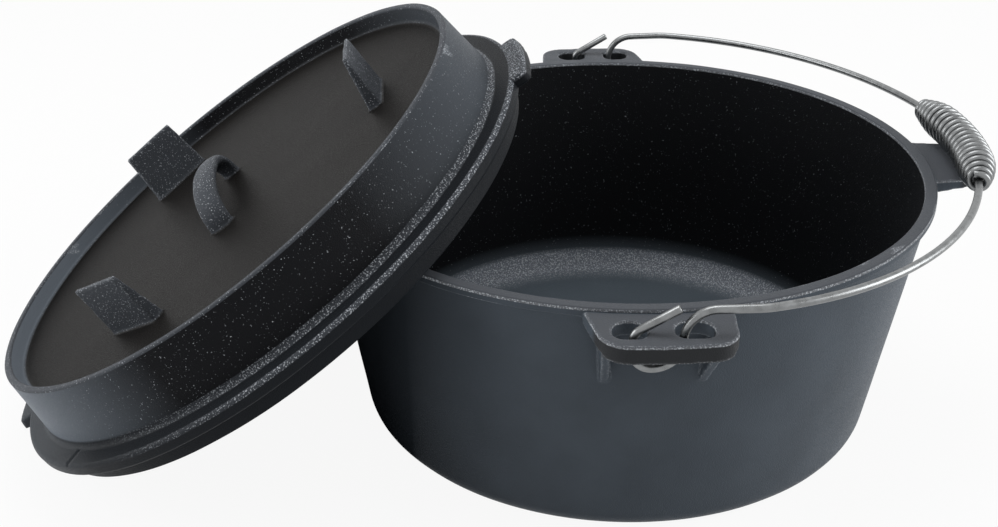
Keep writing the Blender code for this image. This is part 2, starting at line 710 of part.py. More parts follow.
def grip_points():
    """Centre line of the coil: closed turns round the bail with a straight end a wire's width long."""
    points, distances = grip_line()
    half = GRIP_LENGTH / 2
    place = -half
    turn_angle = 0.0
    index = 0
    coil = []
    while place < half:
        while distances[index + 1] < place:
            index += 1
        along = (points[index + 1] - points[index]).normalized()
        spot = points[index] + along * (place - distances[index])
        up = (Vector((0, 0, 1)) - along * along.z).normalized()
        side = along.cross(up)
        from_end = half - abs(place)
        spoke = up * math.cos(turn_angle) + side * math.sin(turn_angle)
        coil.append(spot + spoke * grip_coil_radius(from_end))
        turn_angle += 2 * math.pi / GRIP_POINTS_PER_TURN
        place += grip_pitch(from_end) / GRIP_POINTS_PER_TURN
    tail = 2 * GRIP_WIRE_RADIUS
    first = coil[0] + (coil[0] - coil[1]).normalized() * tail
    last = coil[-1] + (coil[-1] - coil[-2]).normalized() * tail
    return [first] + coil + [last]


def least_gap(points, radius, skip):
    """Smallest clear distance of a wire to itself, between points more than a few steps apart."""
    least = math.inf
    for index, point in enumerate(points):
        for other in points[index + skip:]:
            least = min(least, (point - other).length)
    return least - 2 * radius


def make_bail(finish, hinge):
    """The bail, turning about the hinge that it hangs from."""
    bail = wire("bail", bail_points(), BAIL_WIRE_RADIUS, 4)
    bail.data.materials.append(finish)
    bail.parent = hinge
    return bail


def make_grip(finish, hinge):
    """The coil grip, which turns with the bail."""
    points = grip_points()
    gap = least_gap(points, GRIP_WIRE_RADIUS, GRIP_POINTS_PER_TURN // 2)
    print("grip: least gap of the coil to itself %.2f mm" % (gap / MM))
    grip = wire("bail_grip", points, GRIP_WIRE_RADIUS, 1)
    grip.data.materials.append(finish)
    grip.parent = hinge
    return grip


def main():
    clear_scene()
    pot_iron = material("pot_iron", (0.050, 0.054, 0.060), 0.48, 0.6)
    lid_iron = material("lid_iron", (0.055, 0.055, 0.056), 0.52, 0.6)
    bail_steel = material("bail_steel", (0.50, 0.51, 0.50), 0.34, 1.0)
    grip_steel = material("grip_steel", (0.56, 0.57, 0.58), 0.30, 1.0)
    make_pot(pot_iron)
    make_lid(lid_iron)
    hinge = link("bail_hinge", None)
    hinge.location = (0, 0, HINGE_HEIGHT)
    make_bail(bail_steel, hinge)
    make_grip(grip_steel, hinge)


main()
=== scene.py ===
"""Looks of a deep cast iron camp pot with its leaning lid, its wire bail and the coil grip.

It is laid out as an add-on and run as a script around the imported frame, in metres with +Z up.
"""

import json
import math

import bmesh
import bpy
import numpy as np
from bpy.props import FloatProperty, FloatVectorProperty, PointerProperty
from bpy.types import Operator, Panel, PropertyGroup
from mathutils import Matrix, Vector, noise


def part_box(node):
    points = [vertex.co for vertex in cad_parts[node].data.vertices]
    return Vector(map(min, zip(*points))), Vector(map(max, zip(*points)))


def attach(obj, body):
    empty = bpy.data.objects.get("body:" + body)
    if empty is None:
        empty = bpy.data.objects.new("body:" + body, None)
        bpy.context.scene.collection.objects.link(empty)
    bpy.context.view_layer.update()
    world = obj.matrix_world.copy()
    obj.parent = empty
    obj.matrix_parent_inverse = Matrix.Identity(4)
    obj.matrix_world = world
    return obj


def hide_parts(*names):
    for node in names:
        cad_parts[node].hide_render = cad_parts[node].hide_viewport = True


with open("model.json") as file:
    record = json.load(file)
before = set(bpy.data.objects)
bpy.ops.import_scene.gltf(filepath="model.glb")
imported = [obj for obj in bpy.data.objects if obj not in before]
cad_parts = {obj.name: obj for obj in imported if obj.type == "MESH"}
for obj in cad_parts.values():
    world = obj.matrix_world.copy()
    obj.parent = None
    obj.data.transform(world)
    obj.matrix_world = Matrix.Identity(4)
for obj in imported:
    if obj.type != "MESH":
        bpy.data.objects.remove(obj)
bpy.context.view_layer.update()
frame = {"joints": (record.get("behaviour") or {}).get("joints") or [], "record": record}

bl_info = {
    "name": "Camp pot",
    "version": (1, 0, 0),
    "blender": (4, 5, 0),
    "location": "View3D > Sidebar > Camp pot",
    "description": "A cast iron camp pot with its lid, bail and coil grip",
    "category": "Add Mesh",
}

MM = 0.001

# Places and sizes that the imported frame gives
POT_LOW, POT_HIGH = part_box("pot")
POT_HEIGHT = POT_HIGH.z
RIM_RADIUS = -POT_LOW.x
JOINTS = {joint["name"]: joint for joint in frame["joints"]}
MOUNTS = {mount["name"]: Vector(mount["pos_m"]) for mount in frame["record"]["mounts"]}
HINGE_HEIGHT = JOINTS["bail_swing"]["pos_m"][2]
POT_FLOOR = MOUNTS["pot_floor"].z

# Lid's own frame: x level, y uphill, z towards its legs
LID_AXIS = Vector(JOINTS["lid_lift"]["axis"]).normalized()
LID_LEVEL = Vector((-LID_AXIS.y, LID_AXIS.x, 0)).normalized()
LID_UPHILL = LID_AXIS.cross(LID_LEVEL)
LID_PLATE_TOP = 25.4 * MM
LID_MOUNT_UPHILL = 45.0 * MM
LID_CENTRE = MOUNTS["lid_plate"] - LID_AXIS * LID_PLATE_TOP - LID_UPHILL * LID_MOUNT_UPHILL

# Pot wall and rim
POT_WALL = 4.0 * MM
RIM_OVERHANG = 2.0 * MM
RIM_DEPTH = 6.0 * MM
RIM_EDGE = 1.1 * MM
RIM_FOOT_EDGE = 0.8 * MM
WALL_RADIUS_AT_RIM = RIM_RADIUS - RIM_OVERHANG
WALL_RADIUS_AT_BASE = 136.0 * MM
WALL_DRAFT = (WALL_RADIUS_AT_RIM - WALL_RADIUS_AT_BASE) / POT_HEIGHT
BASE_CORNER_RADIUS = 12.0 * MM
FLOOR_CORNER_RADIUS = 26.0 * MM

# Ears with their holes and ribs
EAR_THICKNESS = 7.5 * MM
EAR_TOP = HINGE_HEIGHT + EAR_THICKNESS / 2
EAR_UNDERSIDE = EAR_TOP - EAR_THICKNESS
EAR_END = 188.0 * MM
EAR_HALF_WIDTHS = (31.5 * MM, 33.4 * MM)
EAR_TAPERS = (6.9 * MM, 1.6 * MM)
EAR_CORNERS = (14.0 * MM, 12.0 * MM)
EAR_CORNER_SETBACKS = (1.0 * MM, 2.0 * MM)
EAR_END_BEND = 36.0 * MM
EAR_LIP_DEPTH = 1.5 * MM
EAR_LIP_WIDTH = 6.8 * MM
WEB_WIDTH = 11.5 * MM
HOLE_LENGTHS = (14.8 * MM, 16.8 * MM)
HOLE_WIDTH = 14.6 * MM
HOLE_OUTER_STRIP = 7.5 * MM
HOLE_CORNERS = (5.0 * MM, 6.8 * MM)
RIB_TOPS = (-23.0 * MM, 27.0 * MM)
RIB_FEET = (-20.5 * MM, 23.0 * MM)
RIB_THICKNESS = 4.0 * MM
RIB_DEPTH = 33.0 * MM
RIB_REACH = 20.0 * MM
EAR_PATCH_ANGLE = math.radians(14.5)
EAR_PATCH_MARGIN = 6.0 * MM

# Third tab
TAB_SIDES = (-28.2 * MM, 25.0 * MM)
TAB_TAPER = 3.5 * MM
TAB_END = 180.0 * MM
TAB_THICKNESS = 7.2 * MM
TAB_THINNING = 2.8 * MM
TAB_CORNER = 5.0 * MM
TAB_PATCH_ANGLE = math.radians(11.0)
TAB_PATCH_MARGIN = 8.0 * MM

# Lid section
LID_LEDGE_RADIUS = 159.5 * MM
LID_LEDGE_WIDTH = 11.6 * MM
LID_BRIM_THICKNESS = 7.2 * MM
LID_BRIM_EDGE = 2.0 * MM
LID_BRIM_LOWER_EDGE = 1.5 * MM
LID_BRIM_FILLET = 1.2 * MM
LID_RING_RADIUS = 152.5 * MM
LID_RING_WALL = 4.0 * MM
LID_RING_DEPTH = 9.3 * MM
LID_RING_EDGE = 0.4 * MM
LID_RING_FILLET = 2.0 * MM
LID_WALL = 4.2 * MM
LID_WALL_DRAFT = 4.2 * MM
LID_WALL_FOOT_RADIUS = LID_LEDGE_RADIUS - LID_LEDGE_WIDTH
LID_WALL_FOOT_FILLET = 3.0 * MM
LID_LIP_RADIUS = LID_WALL_FOOT_RADIUS - LID_WALL_DRAFT
LID_LIP_WIDTH = 3.6 * MM
LID_LIP_HEIGHT = 34.7 * MM
LID_LIP_EDGE = 1.2 * MM
LID_TRAY_DRAFT = 2.1 * MM
LID_TRAY_FILLET = 3.0 * MM
LID_PLATE = 5.5 * MM
LID_UNDERSIDE_FILLET = 8.0 * MM

# Lifting tabs, legs, loop handle and notch of the lid
LID_TAB_ANGLE = math.radians(90.0)
LID_TAB_HALF_WIDTH = 27.4 * MM
LID_TAB_REACH = 6.7 * MM
LID_TAB_FLARE = 1.4 * MM
LID_TAB_THICKNESS = 6.0 * MM
LID_TAB_DROP = 0.2 * MM
LID_TAB_CORNER = 3.0 * MM
LEG_COUNT = 3
LEG_ANGLE = math.radians(88.43)
LEG_RADIUS = 97.6 * MM
LEG_HEIGHT = 29.0 * MM
LEG_HALF_WIDTHS = (17.3 * MM, 15.4 * MM)
LEG_THICKNESSES = (7.5 * MM, 2.4 * MM)
LOOP_HALF_SPAN = 36.0 * MM
LOOP_SHIFT = 0.5 * MM
LOOP_SHIFT_DOWNHILL = 2.5 * MM
LOOP_HEIGHT = 21.0 * MM
LOOP_HALF_WIDTH = 6.9 * MM
LOOP_FAR_HALF_WIDTH = 4.8 * MM
LOOP_THICKNESS = 6.4 * MM
LOOP_ROUNDNESS = 2.25
LOOP_SECTION_ROUNDNESS = 2.6
NOTCH_ANGLE = math.radians(-44.0)
NOTCH_DEPTH = 1.2 * MM
NOTCH_HALF_WIDTH = 1.6 * MM

# Plate that the legs and the loop handle grow from
LID_PATCH_THICKNESS = 4.0 * MM
LEG_PATCH_HALF_LENGTH = 12.0 * MM
LOOP_PATCH_MARGIN = 8.0 * MM
LID_PATCH_SIDE_MARGIN = 6.0 * MM

# Bail wire, about the middle of its hinge
BAIL_WIRE_RADIUS = 1.9 * MM
BAIL_REACH = 178.3 * MM
BAIL_HALF_WIDTH = 179.75 * MM
BAIL_CENTRE_REACH = 15.7 * MM
BAIL_ROUNDNESS = 1.92
BAIL_ARC_START_ANGLE = math.radians(76.0)
BAIL_SHOULDER_REACH = 43.0 * MM
BAIL_SHOULDER_RISE = 15.05 * MM
BAIL_SHOULDER_HALF_WIDTH = 177.0 * MM
BAIL_SHOULDER_BEND = 30.0 * MM
HOOK_Y = 176.5 * MM
HOOK_LEG_X = 9.2 * MM
HOOK_RETURN_X = -12.0 * MM
HOOK_BOTTOM = -13.2 * MM
HOOK_LEG_BEND = 12.8 * MM
HOOK_RETURN_BEND = 8.2 * MM
HOOK_TOP = 14.4 * MM
HOOK_TOP_BEND = 14.0 * MM
STUB_CORNER_RISE = 3.6 * MM
STUB_BEND = 5.0 * MM
STUB_TIP_X = 7.4 * MM
STUB_TIP_RISE = 15.2 * MM

# Coil grip
GRIP_LENGTH = 101.0 * MM
GRIP_CENTRE_SHIFT = 2.2 * MM
GRIP_RADIUS = 9.75 * MM
GRIP_WIRE_RADIUS = 1.65 * MM
GRIP_PITCH = 5.3 * MM
GRIP_END_PITCH = 4.1 * MM
GRIP_TAPER = 24.0 * MM
RUNNING_GAP = 0.35 * MM

# Fineness of the meshes
ARC_ANGLE = math.radians(6.0)
TURN_STEPS = 288
TURN_SPACING = 3.5 * MM
WIRE_SIDES = 20
COIL_SIDES = 16
WIRE_END_CUT = 0.18
BAIL_STEPS = 120
COIL_TRACK_STEPS = 600
COIL_POINTS_PER_TURN = 28
PATCH_STEPS = 24
LID_TAB_STEPS = 16
LOOP_STEPS = 40
LOOP_SIDES = 20
CAST_VOXEL = 0.8 * MM
CAST_PASSES = 6
CAST_SOFTENING = 0.5
SHARP_ANGLE = math.radians(50.0)
EMBED = 1.2 * MM
SINK = 0.12 * MM

# Unevenness of the cast surfaces
UNEVENNESS = 0.12 * MM
BODY_WAVE = 26.0 * MM
SMALL_WAVE = 9.0 * MM
WAVE_SHIFTS = (7.3, 3.1, 5.7)
POT_SEED = 1
LID_SEED = 10

# Tones of the iron's zones: painted shade inside, painted light on the floor, tops lighter from painted light
# and rubbing, painted glints on the edges, the lid's painted shadow on the pot's side, walls, ledges and legs
# Painted shade: the inside of the pot is near black for the shade inside it
POT_INSIDE_SHADE = (0.0090, 0.0098, 0.0112)
# Painted light: the floor inside is lighter where the light through the opening falls on it
POT_FLOOR_LIGHT = (0.088, 0.108, 0.128)
# Painted highlight: a bright, speckled band round the floor's fillet
POT_FLOOR_HIGHLIGHT = (0.170, 0.190, 0.220)
# Partly painted light from above and partly rubbed metal: the tops of the rim and ears are lighter
POT_TOP_LIGHT_AND_RUB = (0.085, 0.092, 0.104)
# Painted glints: a lighter, speckled band round the edges of the rim and the ears
POT_EDGE_GLINTS = (0.160, 0.170, 0.185)
# Painted shade: the ears' outer faces, turned away from the lamps, are darker
POT_EAR_FACE_SHADE = (0.034, 0.036, 0.039)
# Painted shadow: the leaning lid's shadow on the pot's wall on the -X side
POT_LID_SHADOW = (0.0180, 0.0215, 0.0255)
LID_WALL_TONE = (0.0085, 0.0090, 0.0105)
# Painted light: the raised wall lighter towards its low end, and a little at its high end, where the side
# lamps fall
LID_WALL_END_LIGHT = (0.160, 0.184, 0.214)
# Painted reflection: the ledge a little lighter and bluer than the iron
LID_LEDGE_REFLECTION = (0.0130, 0.0150, 0.0180)
# Painted highlight: a lighter, speckled tone on the lid's beads and lip
LID_BEAD_HIGHLIGHT = (0.060, 0.066, 0.076)
# Painted light: the ledge lighter towards the lid's low end
LID_LOW_LEDGE_LIGHT = (0.052, 0.058, 0.066)
# Painted light: the legs lighter than the lid's iron where the lamps fall on them, with painted glints
LID_LEG_LIGHT = (0.0650, 0.0715, 0.0820)
# Colour of the painted glints
GLINT = (0.50, 0.53, 0.57)

# Where the pot's tones start and end, as pot_zones lays them out
# Span of the lid's painted shadow on the pot, and of the lowered gloss that darkens it further
LID_SHADOW_SPAN = (-65.0 * MM, -125.0 * MM)
LID_SHADOW_DULL_SPAN = (-50.0 * MM, -110.0 * MM)
INSIDE = (-2.5 * MM, -1.5 * MM)
FLOOR_FADE = (6.0 * MM, 20.0 * MM)
FLOOR_BEND = (3.0 * MM, 10.0 * MM)
FLOOR_BEND_SOFTNESS = 3.0 * MM
RIM_TOP = (-0.7 * MM, -0.5 * MM)
# Span of the painted glints on the rim's edge
RIM_GLINT_BAND = (-1.5 * MM, -0.5 * MM)
EAR_FACE = (-16.0 * MM, -12.0 * MM)
BESIDE_RIM = (0.5 * MM, 1.0 * MM)
EAR_UPPER_SIDE = (-0.8 * MM, -0.6 * MM)
# Span of the painted glints on the ears' edges
EAR_GLINT_BAND = (-1.3 * MM, -0.6 * MM)
EDGE_SOFTNESS = 0.1 * MM

# Where the lid's tones start and end, in its own frame
ABOVE_PLATE = (0.0, 0.4 * MM)
# Painted highlight on the beads: how it fades towards the lid's low end
BEAD_HIGHLIGHT_FADE = (-80.0 * MM, 20.0 * MM)
BEAD_HIGHLIGHT_SHARES = (0.05, 1.0)
WALL_FACE = (-6.5 * MM, -5.5 * MM)
# Spans of the painted light on the wall's ends
LOW_END_LIGHT_SPAN = (-30.0 * MM, -125.0 * MM)
HIGH_END_LIGHT_SPAN = (80.0 * MM, 140.0 * MM)
HIGH_END_LIGHT_SHARE = 0.35
LEDGE_RISE = (4.0 * MM, 2.5 * MM)
LOW_LEDGE_LIGHT_SPAN = (-90.0 * MM, -135.0 * MM)
FOOT_BEAD = (0.4 * MM, 3.4 * MM)
FOOT_BEAD_SOFTNESS = 0.3 * MM
BRIM_BEAD = (-2.2 * MM, -1.8 * MM)
LIP_BEAD = (-1.2 * MM, -0.9 * MM)
LEG_FADE = (0.4 * MM, 1.0 * MM)

# Grain of the iron and the wire: scale, detail and roughness of each noise, and its use
FINE_GRAIN = (1500.0, 2.0, 0.6)
PATCH_GRAIN = (30.0, 3.0, 0.5)
SPECK_GRAIN = (1400.0, 1.0, 0.5)
PEBBLE_SCALE = 1700.0
PEBBLE_SMOOTHNESS = 0.5
PATCH_RANGE = (0.35, 0.65)
PATCH_TONES = (0.93, 1.07)
# Painted glints: where the specks start to show, how much crowding adds and how soft they are
SPECK_START = 0.76
SPECK_CROWDING = 0.24
SPECK_SOFTNESS = 0.06
# Painted glints on edges and in fillets: range of the specks and their shares
EDGE_GLINT_RANGE = (0.54, 0.64)
EDGE_GLINT_SHARES = (0.1, 0.8)
EDGE_BEND = (0.515, 0.56)
FILLET_BEND = (0.485, 0.44)
IRON_GLOSS = 0.06
FINE_RANGE = (0.35, 0.70)
ROUGHNESS_SPREAD = 0.12
FINE_RELIEF = 0.7
IRON_RELIEF = (0.22 * MM, 0.6)
STEEL_MOTTLE = (240.0, 3.0, 0.6)
STEEL_GRAIN = (2200.0, 2.0, 0.6)
MOTTLE_RANGE = (0.3, 0.7)
STEEL_TONES = (0.82, 1.15)
STEEL_ROUGHNESS_SHIFTS = (-0.06, 0.08)
STEEL_RELIEF = (0.08 * MM, 0.35)

# Photograph's frame and camera
IMAGE_WIDTH = 998
SENSOR_WIDTH = 36.0
FOCAL_PIXELS = 1408.7354
CAMERA_PLACE = Vector((-75.96, -678.39, 426.23)) * MM
CAMERA_PITCH = math.radians(27.345)
CAMERA_TURN = math.radians(-1.0)
CAMERA_ROLL = math.radians(-0.365)

# Lamps, each with its place, the point that it faces and its size; surround and floor
TOP_LAMP = ((-0.15, 0.35, 1.45), (0, 0, 0), (0.9, 0.7))
LEFT_LAMP = ((-1.35, -0.15, 0.55), (0, 0, 0.06), (0.8, 0.9))
RIGHT_LAMP = ((1.35, -0.25, 0.55), (0, 0, 0.06), (0.8, 0.9))
RIGHT_LAMP_SHARE = 1.4
WHITE = (1.0, 1.0, 1.0, 1.0)
STAGE_RADIUS = 3.0
STAGE_SIDES = 96
STAGE_THICKNESS = 0.02


def settings_of(kind, **limits):
    """A function that makes settings of one kind from their name, description and default."""

    def make(name, description, default):
        return kind(name=name, description=description, default=default, **limits)

    return make


length = settings_of(FloatProperty, min=0.0, precision=5, unit="LENGTH", subtype="DISTANCE")
share = settings_of(FloatProperty, min=0.0, max=1.0, subtype="FACTOR")
colour = settings_of(FloatVectorProperty, min=0.0, max=1.0, size=3, subtype="COLOR")
power = settings_of(FloatProperty, min=0.0, unit="POWER")
strength = settings_of(FloatProperty, min=0.0)


class PotSettings(PropertyGroup):
    """Sizes and finish of the pot."""

    wall: length("Wall", "Thickness of the pot's wall", POT_WALL)
    rim_edge: length("Rim edge", "Radius of the two edges of the rim", RIM_EDGE)
    floor_corner: length("Floor corner", "Radius between floor and wall, inside", FLOOR_CORNER_RADIUS)
    unevenness: length("Unevenness", "How far the cast surface wanders in and out", UNEVENNESS)
    # Partly the iron's own colour, partly a painted bluish sheen: far lighter than the lid's iron
    iron: colour("Iron", "Colour of the seasoned iron", (0.070, 0.084, 0.101))
    roughness: share("Roughness", "Roughness of the seasoned iron", 0.42)


class LidSettings(PropertyGroup):
    """Sizes and finish of the lid."""

    lip_edge: length("Lip edge", "Radius of the two edges of the raised lip", LID_LIP_EDGE)
    wall_fillet: length("Wall fillet", "Radius at the foot of the raised wall", LID_WALL_FOOT_FILLET)
    unevenness: length("Unevenness", "How far the cast surface wanders in and out", UNEVENNESS)
    iron: colour("Iron", "Colour of the seasoned iron", (0.0070, 0.0064, 0.0060))
    roughness: share("Roughness", "Roughness of the seasoned iron", 0.46)


class BailSettings(PropertyGroup):
    """Sizes and finish of the bail and its coil grip."""

    wire_radius: length("Bail wire", "Radius of the bail's wire", BAIL_WIRE_RADIUS)
    coil_wire_radius: length("Coil wire", "Radius of the grip's wire", GRIP_WIRE_RADIUS)
    steel: colour("Steel", "Colour of the galvanised wire", (0.215, 0.222, 0.225))
    roughness: share("Roughness", "Roughness of the galvanised wire", 0.30)


class StageSettings(PropertyGroup):
    """Floor, light and backdrop."""

    floor: colour("Floor", "Colour of the floor", (0.86, 0.86, 0.86))
    whiteness: share("Whiteness", "How far the floor's picture is lifted to white", 0.92)
    ambient: strength("Ambient", "Strength of the even light all round", 0.32)
    top_light: power("Top light", "Power of the soft light overhead", 9.0)
    side_light: power("Side lights", "Power of the left light; the right one is stronger", 9.0)


def link(name, data):
    """Put a mesh, a lamp or a camera into the scene as an object."""
    made = bpy.data.objects.new(name, data)
    bpy.context.scene.collection.objects.link(made)
    return made


def mesh_from(name, verts, faces):
    """A mesh with all its faces pointing outward."""
    mesh = bpy.data.meshes.new(name)
    mesh.from_pydata([tuple(point) for point in verts], [], faces)
    shape = bmesh.new()
    shape.from_mesh(mesh)
    bmesh.ops.recalc_face_normals(shape, faces=shape.faces)
    shape.to_mesh(mesh)
    shape.free()
    return mesh


def full_turn(count):
    """Angles all round a circle in even steps."""
    return np.arange(count) * 2 * math.pi / count


def powered(value, exponent):
    """A value raised to a power with its sign kept."""
    return math.copysign(abs(value) ** exponent, value)


def rounded(corners, closed=False):
    """Points of a line through corners, each given as (point, bend radius)."""
    points = []
    count = len(corners)
    for index, (point, radius) in enumerate(corners):
        here = Vector(point)
        if radius == 0 or (not closed and index in (0, count - 1)):
            points.append(here)
            continue
        backward = (Vector(corners[index - 1][0]) - here).normalized()
        forward = (Vector(corners[(index + 1) % count][0]) - here).normalized()
        half_angle = backward.angle(forward) / 2
        centre = here + (backward + forward).normalized() * radius / math.sin(half_angle)
        first = here + backward * radius / math.tan(half_angle) - centre
        last = here + forward * radius / math.tan(half_angle) - centre
        sweep = math.pi - 2 * half_angle
        steps = max(2, math.ceil(sweep / ARC_ANGLE))
        for step in range(steps + 1):
            turn = sweep * step / steps
            spread = (first * math.sin(sweep - turn) + last * math.sin(turn)) / math.sin(sweep)
            points.append(centre + spread)
    return points


def spaced(points, spacing):
    """The same line with points added where two lie further apart than a spacing."""
    line = [points[0]]
    for last, following in zip(points, points[1:]):
        parts = max(1, math.ceil((following - last).length / spacing))
        line.extend(last.lerp(following, part / parts) for part in range(1, parts + 1))
    return line


def turned(name, corners):
    """A closed mesh turned about Z from a half section that starts and ends on the axis."""
    line = spaced(rounded(corners), TURN_SPACING)
    verts = [(0, 0, line[0].y)]
    for point in line[1:-1]:
        for step in range(TURN_STEPS):
            angle = 2 * math.pi * step / TURN_STEPS
            verts.append((point.x * math.cos(angle), point.x * math.sin(angle), point.y))
    verts.append((0, 0, line[-1].y))
    faces = []
    rings = len(line) - 2
    for step in range(TURN_STEPS):
        after = (step + 1) % TURN_STEPS
        faces.append((0, 1 + step, 1 + after))
        for ring in range(rings - 1):
            low = 1 + ring * TURN_STEPS
            high = low + TURN_STEPS
            faces.append((low + step, high + step, high + after, low + after))
        last = 1 + (rings - 1) * TURN_STEPS
        faces.append((last + step, len(verts) - 1, last + after))
    return link(name, mesh_from(name, verts, faces))


def loft(name, rings):
    """A closed solid through rings of points that match one for one."""
    count = len(rings[0])
    verts = [point for ring in rings for point in ring]
    faces = [tuple(range(count)), tuple(range(len(verts) - count, len(verts)))]
    for ring in range(len(rings) - 1):
        for index in range(count):
            after = (index + 1) % count
            low = ring * count
            faces.append((low + index, low + after, low + count + after, low + count + index))
    return link(name, mesh_from(name, verts, faces))


def plate(name, outline, bottom, top):
    """A flat plate from its outline seen from above."""
    return loft(name, [[(point[0], point[1], height) for point in outline] for height in (bottom, top)])


def tube(name, points, radius, sides):
    """A round wire along points, with softly cut ends."""
    line = [Vector(point) for point in points]
    tangents = []
    for index in range(len(line)):
        before = line[max(index - 1, 0)]
        after = line[min(index + 1, len(line) - 1)]
        tangents.append((after - before).normalized())
    across = tangents[0].orthogonal().normalized()
    rings = []
    for point, tangent in zip(line, tangents):
        across = (across - tangent * across.dot(tangent)).normalized()
        beside = tangent.cross(across)
        rings.append([across * math.cos(turn) + beside * math.sin(turn) for turn in full_turn(sides)])
    edge = WIRE_END_CUT * radius
    start = line[0] + tangents[0] * edge
    end = line[-1] - tangents[-1] * edge
    centres = [line[0], start, *line[1:-1], end, line[-1]]
    sizes = [radius - edge, *[radius] * len(line), radius - edge]
    spokes = [rings[0], *rings, rings[-1]]
    shaped = zip(centres, sizes, spokes)
    return loft(name, [[centre + spoke * size for spoke in ring] for centre, size, ring in shaped])


def joined(name, parts):
    """One object from several, which are taken away."""
    shape = bmesh.new()
    for part in parts:
        mesh = part.data.copy()
        mesh.transform(part.matrix_basis)
        shape.from_mesh(mesh)
        bpy.data.meshes.remove(mesh)
        bpy.data.objects.remove(part)
    mesh = bpy.data.meshes.new(name)
    shape.to_mesh(mesh)
    shape.free()
    return link(name, mesh)


def fixed(made):
    """The object with its modifiers worked into its mesh."""
    bpy.context.view_layer.update()
    graph = bpy.context.evaluated_depsgraph_get()
    mesh = bpy.data.meshes.new_from_object(made.evaluated_get(graph))
    made.modifiers.clear()
    made.data = mesh
    return made


def cut(base, cutters):
    """Cut solids away from an object."""
    for cutter in cutters:
        change = base.modifiers.new("cut", "BOOLEAN")
        change.operation = "DIFFERENCE"
        change.solver = "EXACT"
        change.object = cutter
    fixed(base)
    for cutter in cutters:
        bpy.data.objects.remove(cutter)
    return base


def cast(name, parts):
    """One casting from overlapping solids, with the soft edges and fillets that sand casting leaves."""
    made = joined(name, parts)
    skin = made.modifiers.new("skin", "REMESH")
    skin.mode = "VOXEL"
    skin.voxel_size = CAST_VOXEL
    soften = made.modifiers.new("soften", "SMOOTH")
    soften.factor = CAST_SOFTENING
    soften.iterations = CAST_PASSES
    return fixed(made)


def vertex_rows(mesh, attribute):
    """One attribute of a mesh's vertices, with a row of three numbers for each."""
    values = np.empty(len(mesh.vertices) * 3)
    mesh.vertices.foreach_get(attribute, values)
    return values.reshape(-1, 3)


def undulate(made, height, size, seed, lowest=None):
    """Let a cast surface wander in and out a little, but not below a level where one is given."""
    mesh = made.data
    places = vertex_rows(mesh, "co")
    normals = vertex_rows(mesh, "normal")
    offset = Vector([seed * shift for shift in WAVE_SHIFTS])
    wander = np.array([noise.noise(Vector(place) / size + offset) for place in places])
    places = places + normals * (wander * height)[:, None]
    if lowest is not None:
        places[:, 2] = np.maximum(places[:, 2], lowest)
    mesh.vertices.foreach_set("co", places.ravel())
    mesh.update()


def dress(made, body, finish, nodes=()):
    """Give a piece its finish, its body and the CAD nodes that it stands for."""
    made.data.materials.clear()
    made.data.materials.append(finish)
    made.data.shade_smooth()
    made.data.set_sharp_from_angle(angle=SHARP_ANGLE)
    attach(made, body)
    if nodes:
        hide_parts(*nodes)


def past(base, offsets):
    """Two values given by their offsets from a third."""
    return base + offsets[0], base + offsets[1]


def scaled(tone, share):
    """A tone made darker or lighter."""
    return tuple(min(1.0, value * share) for value in tone)


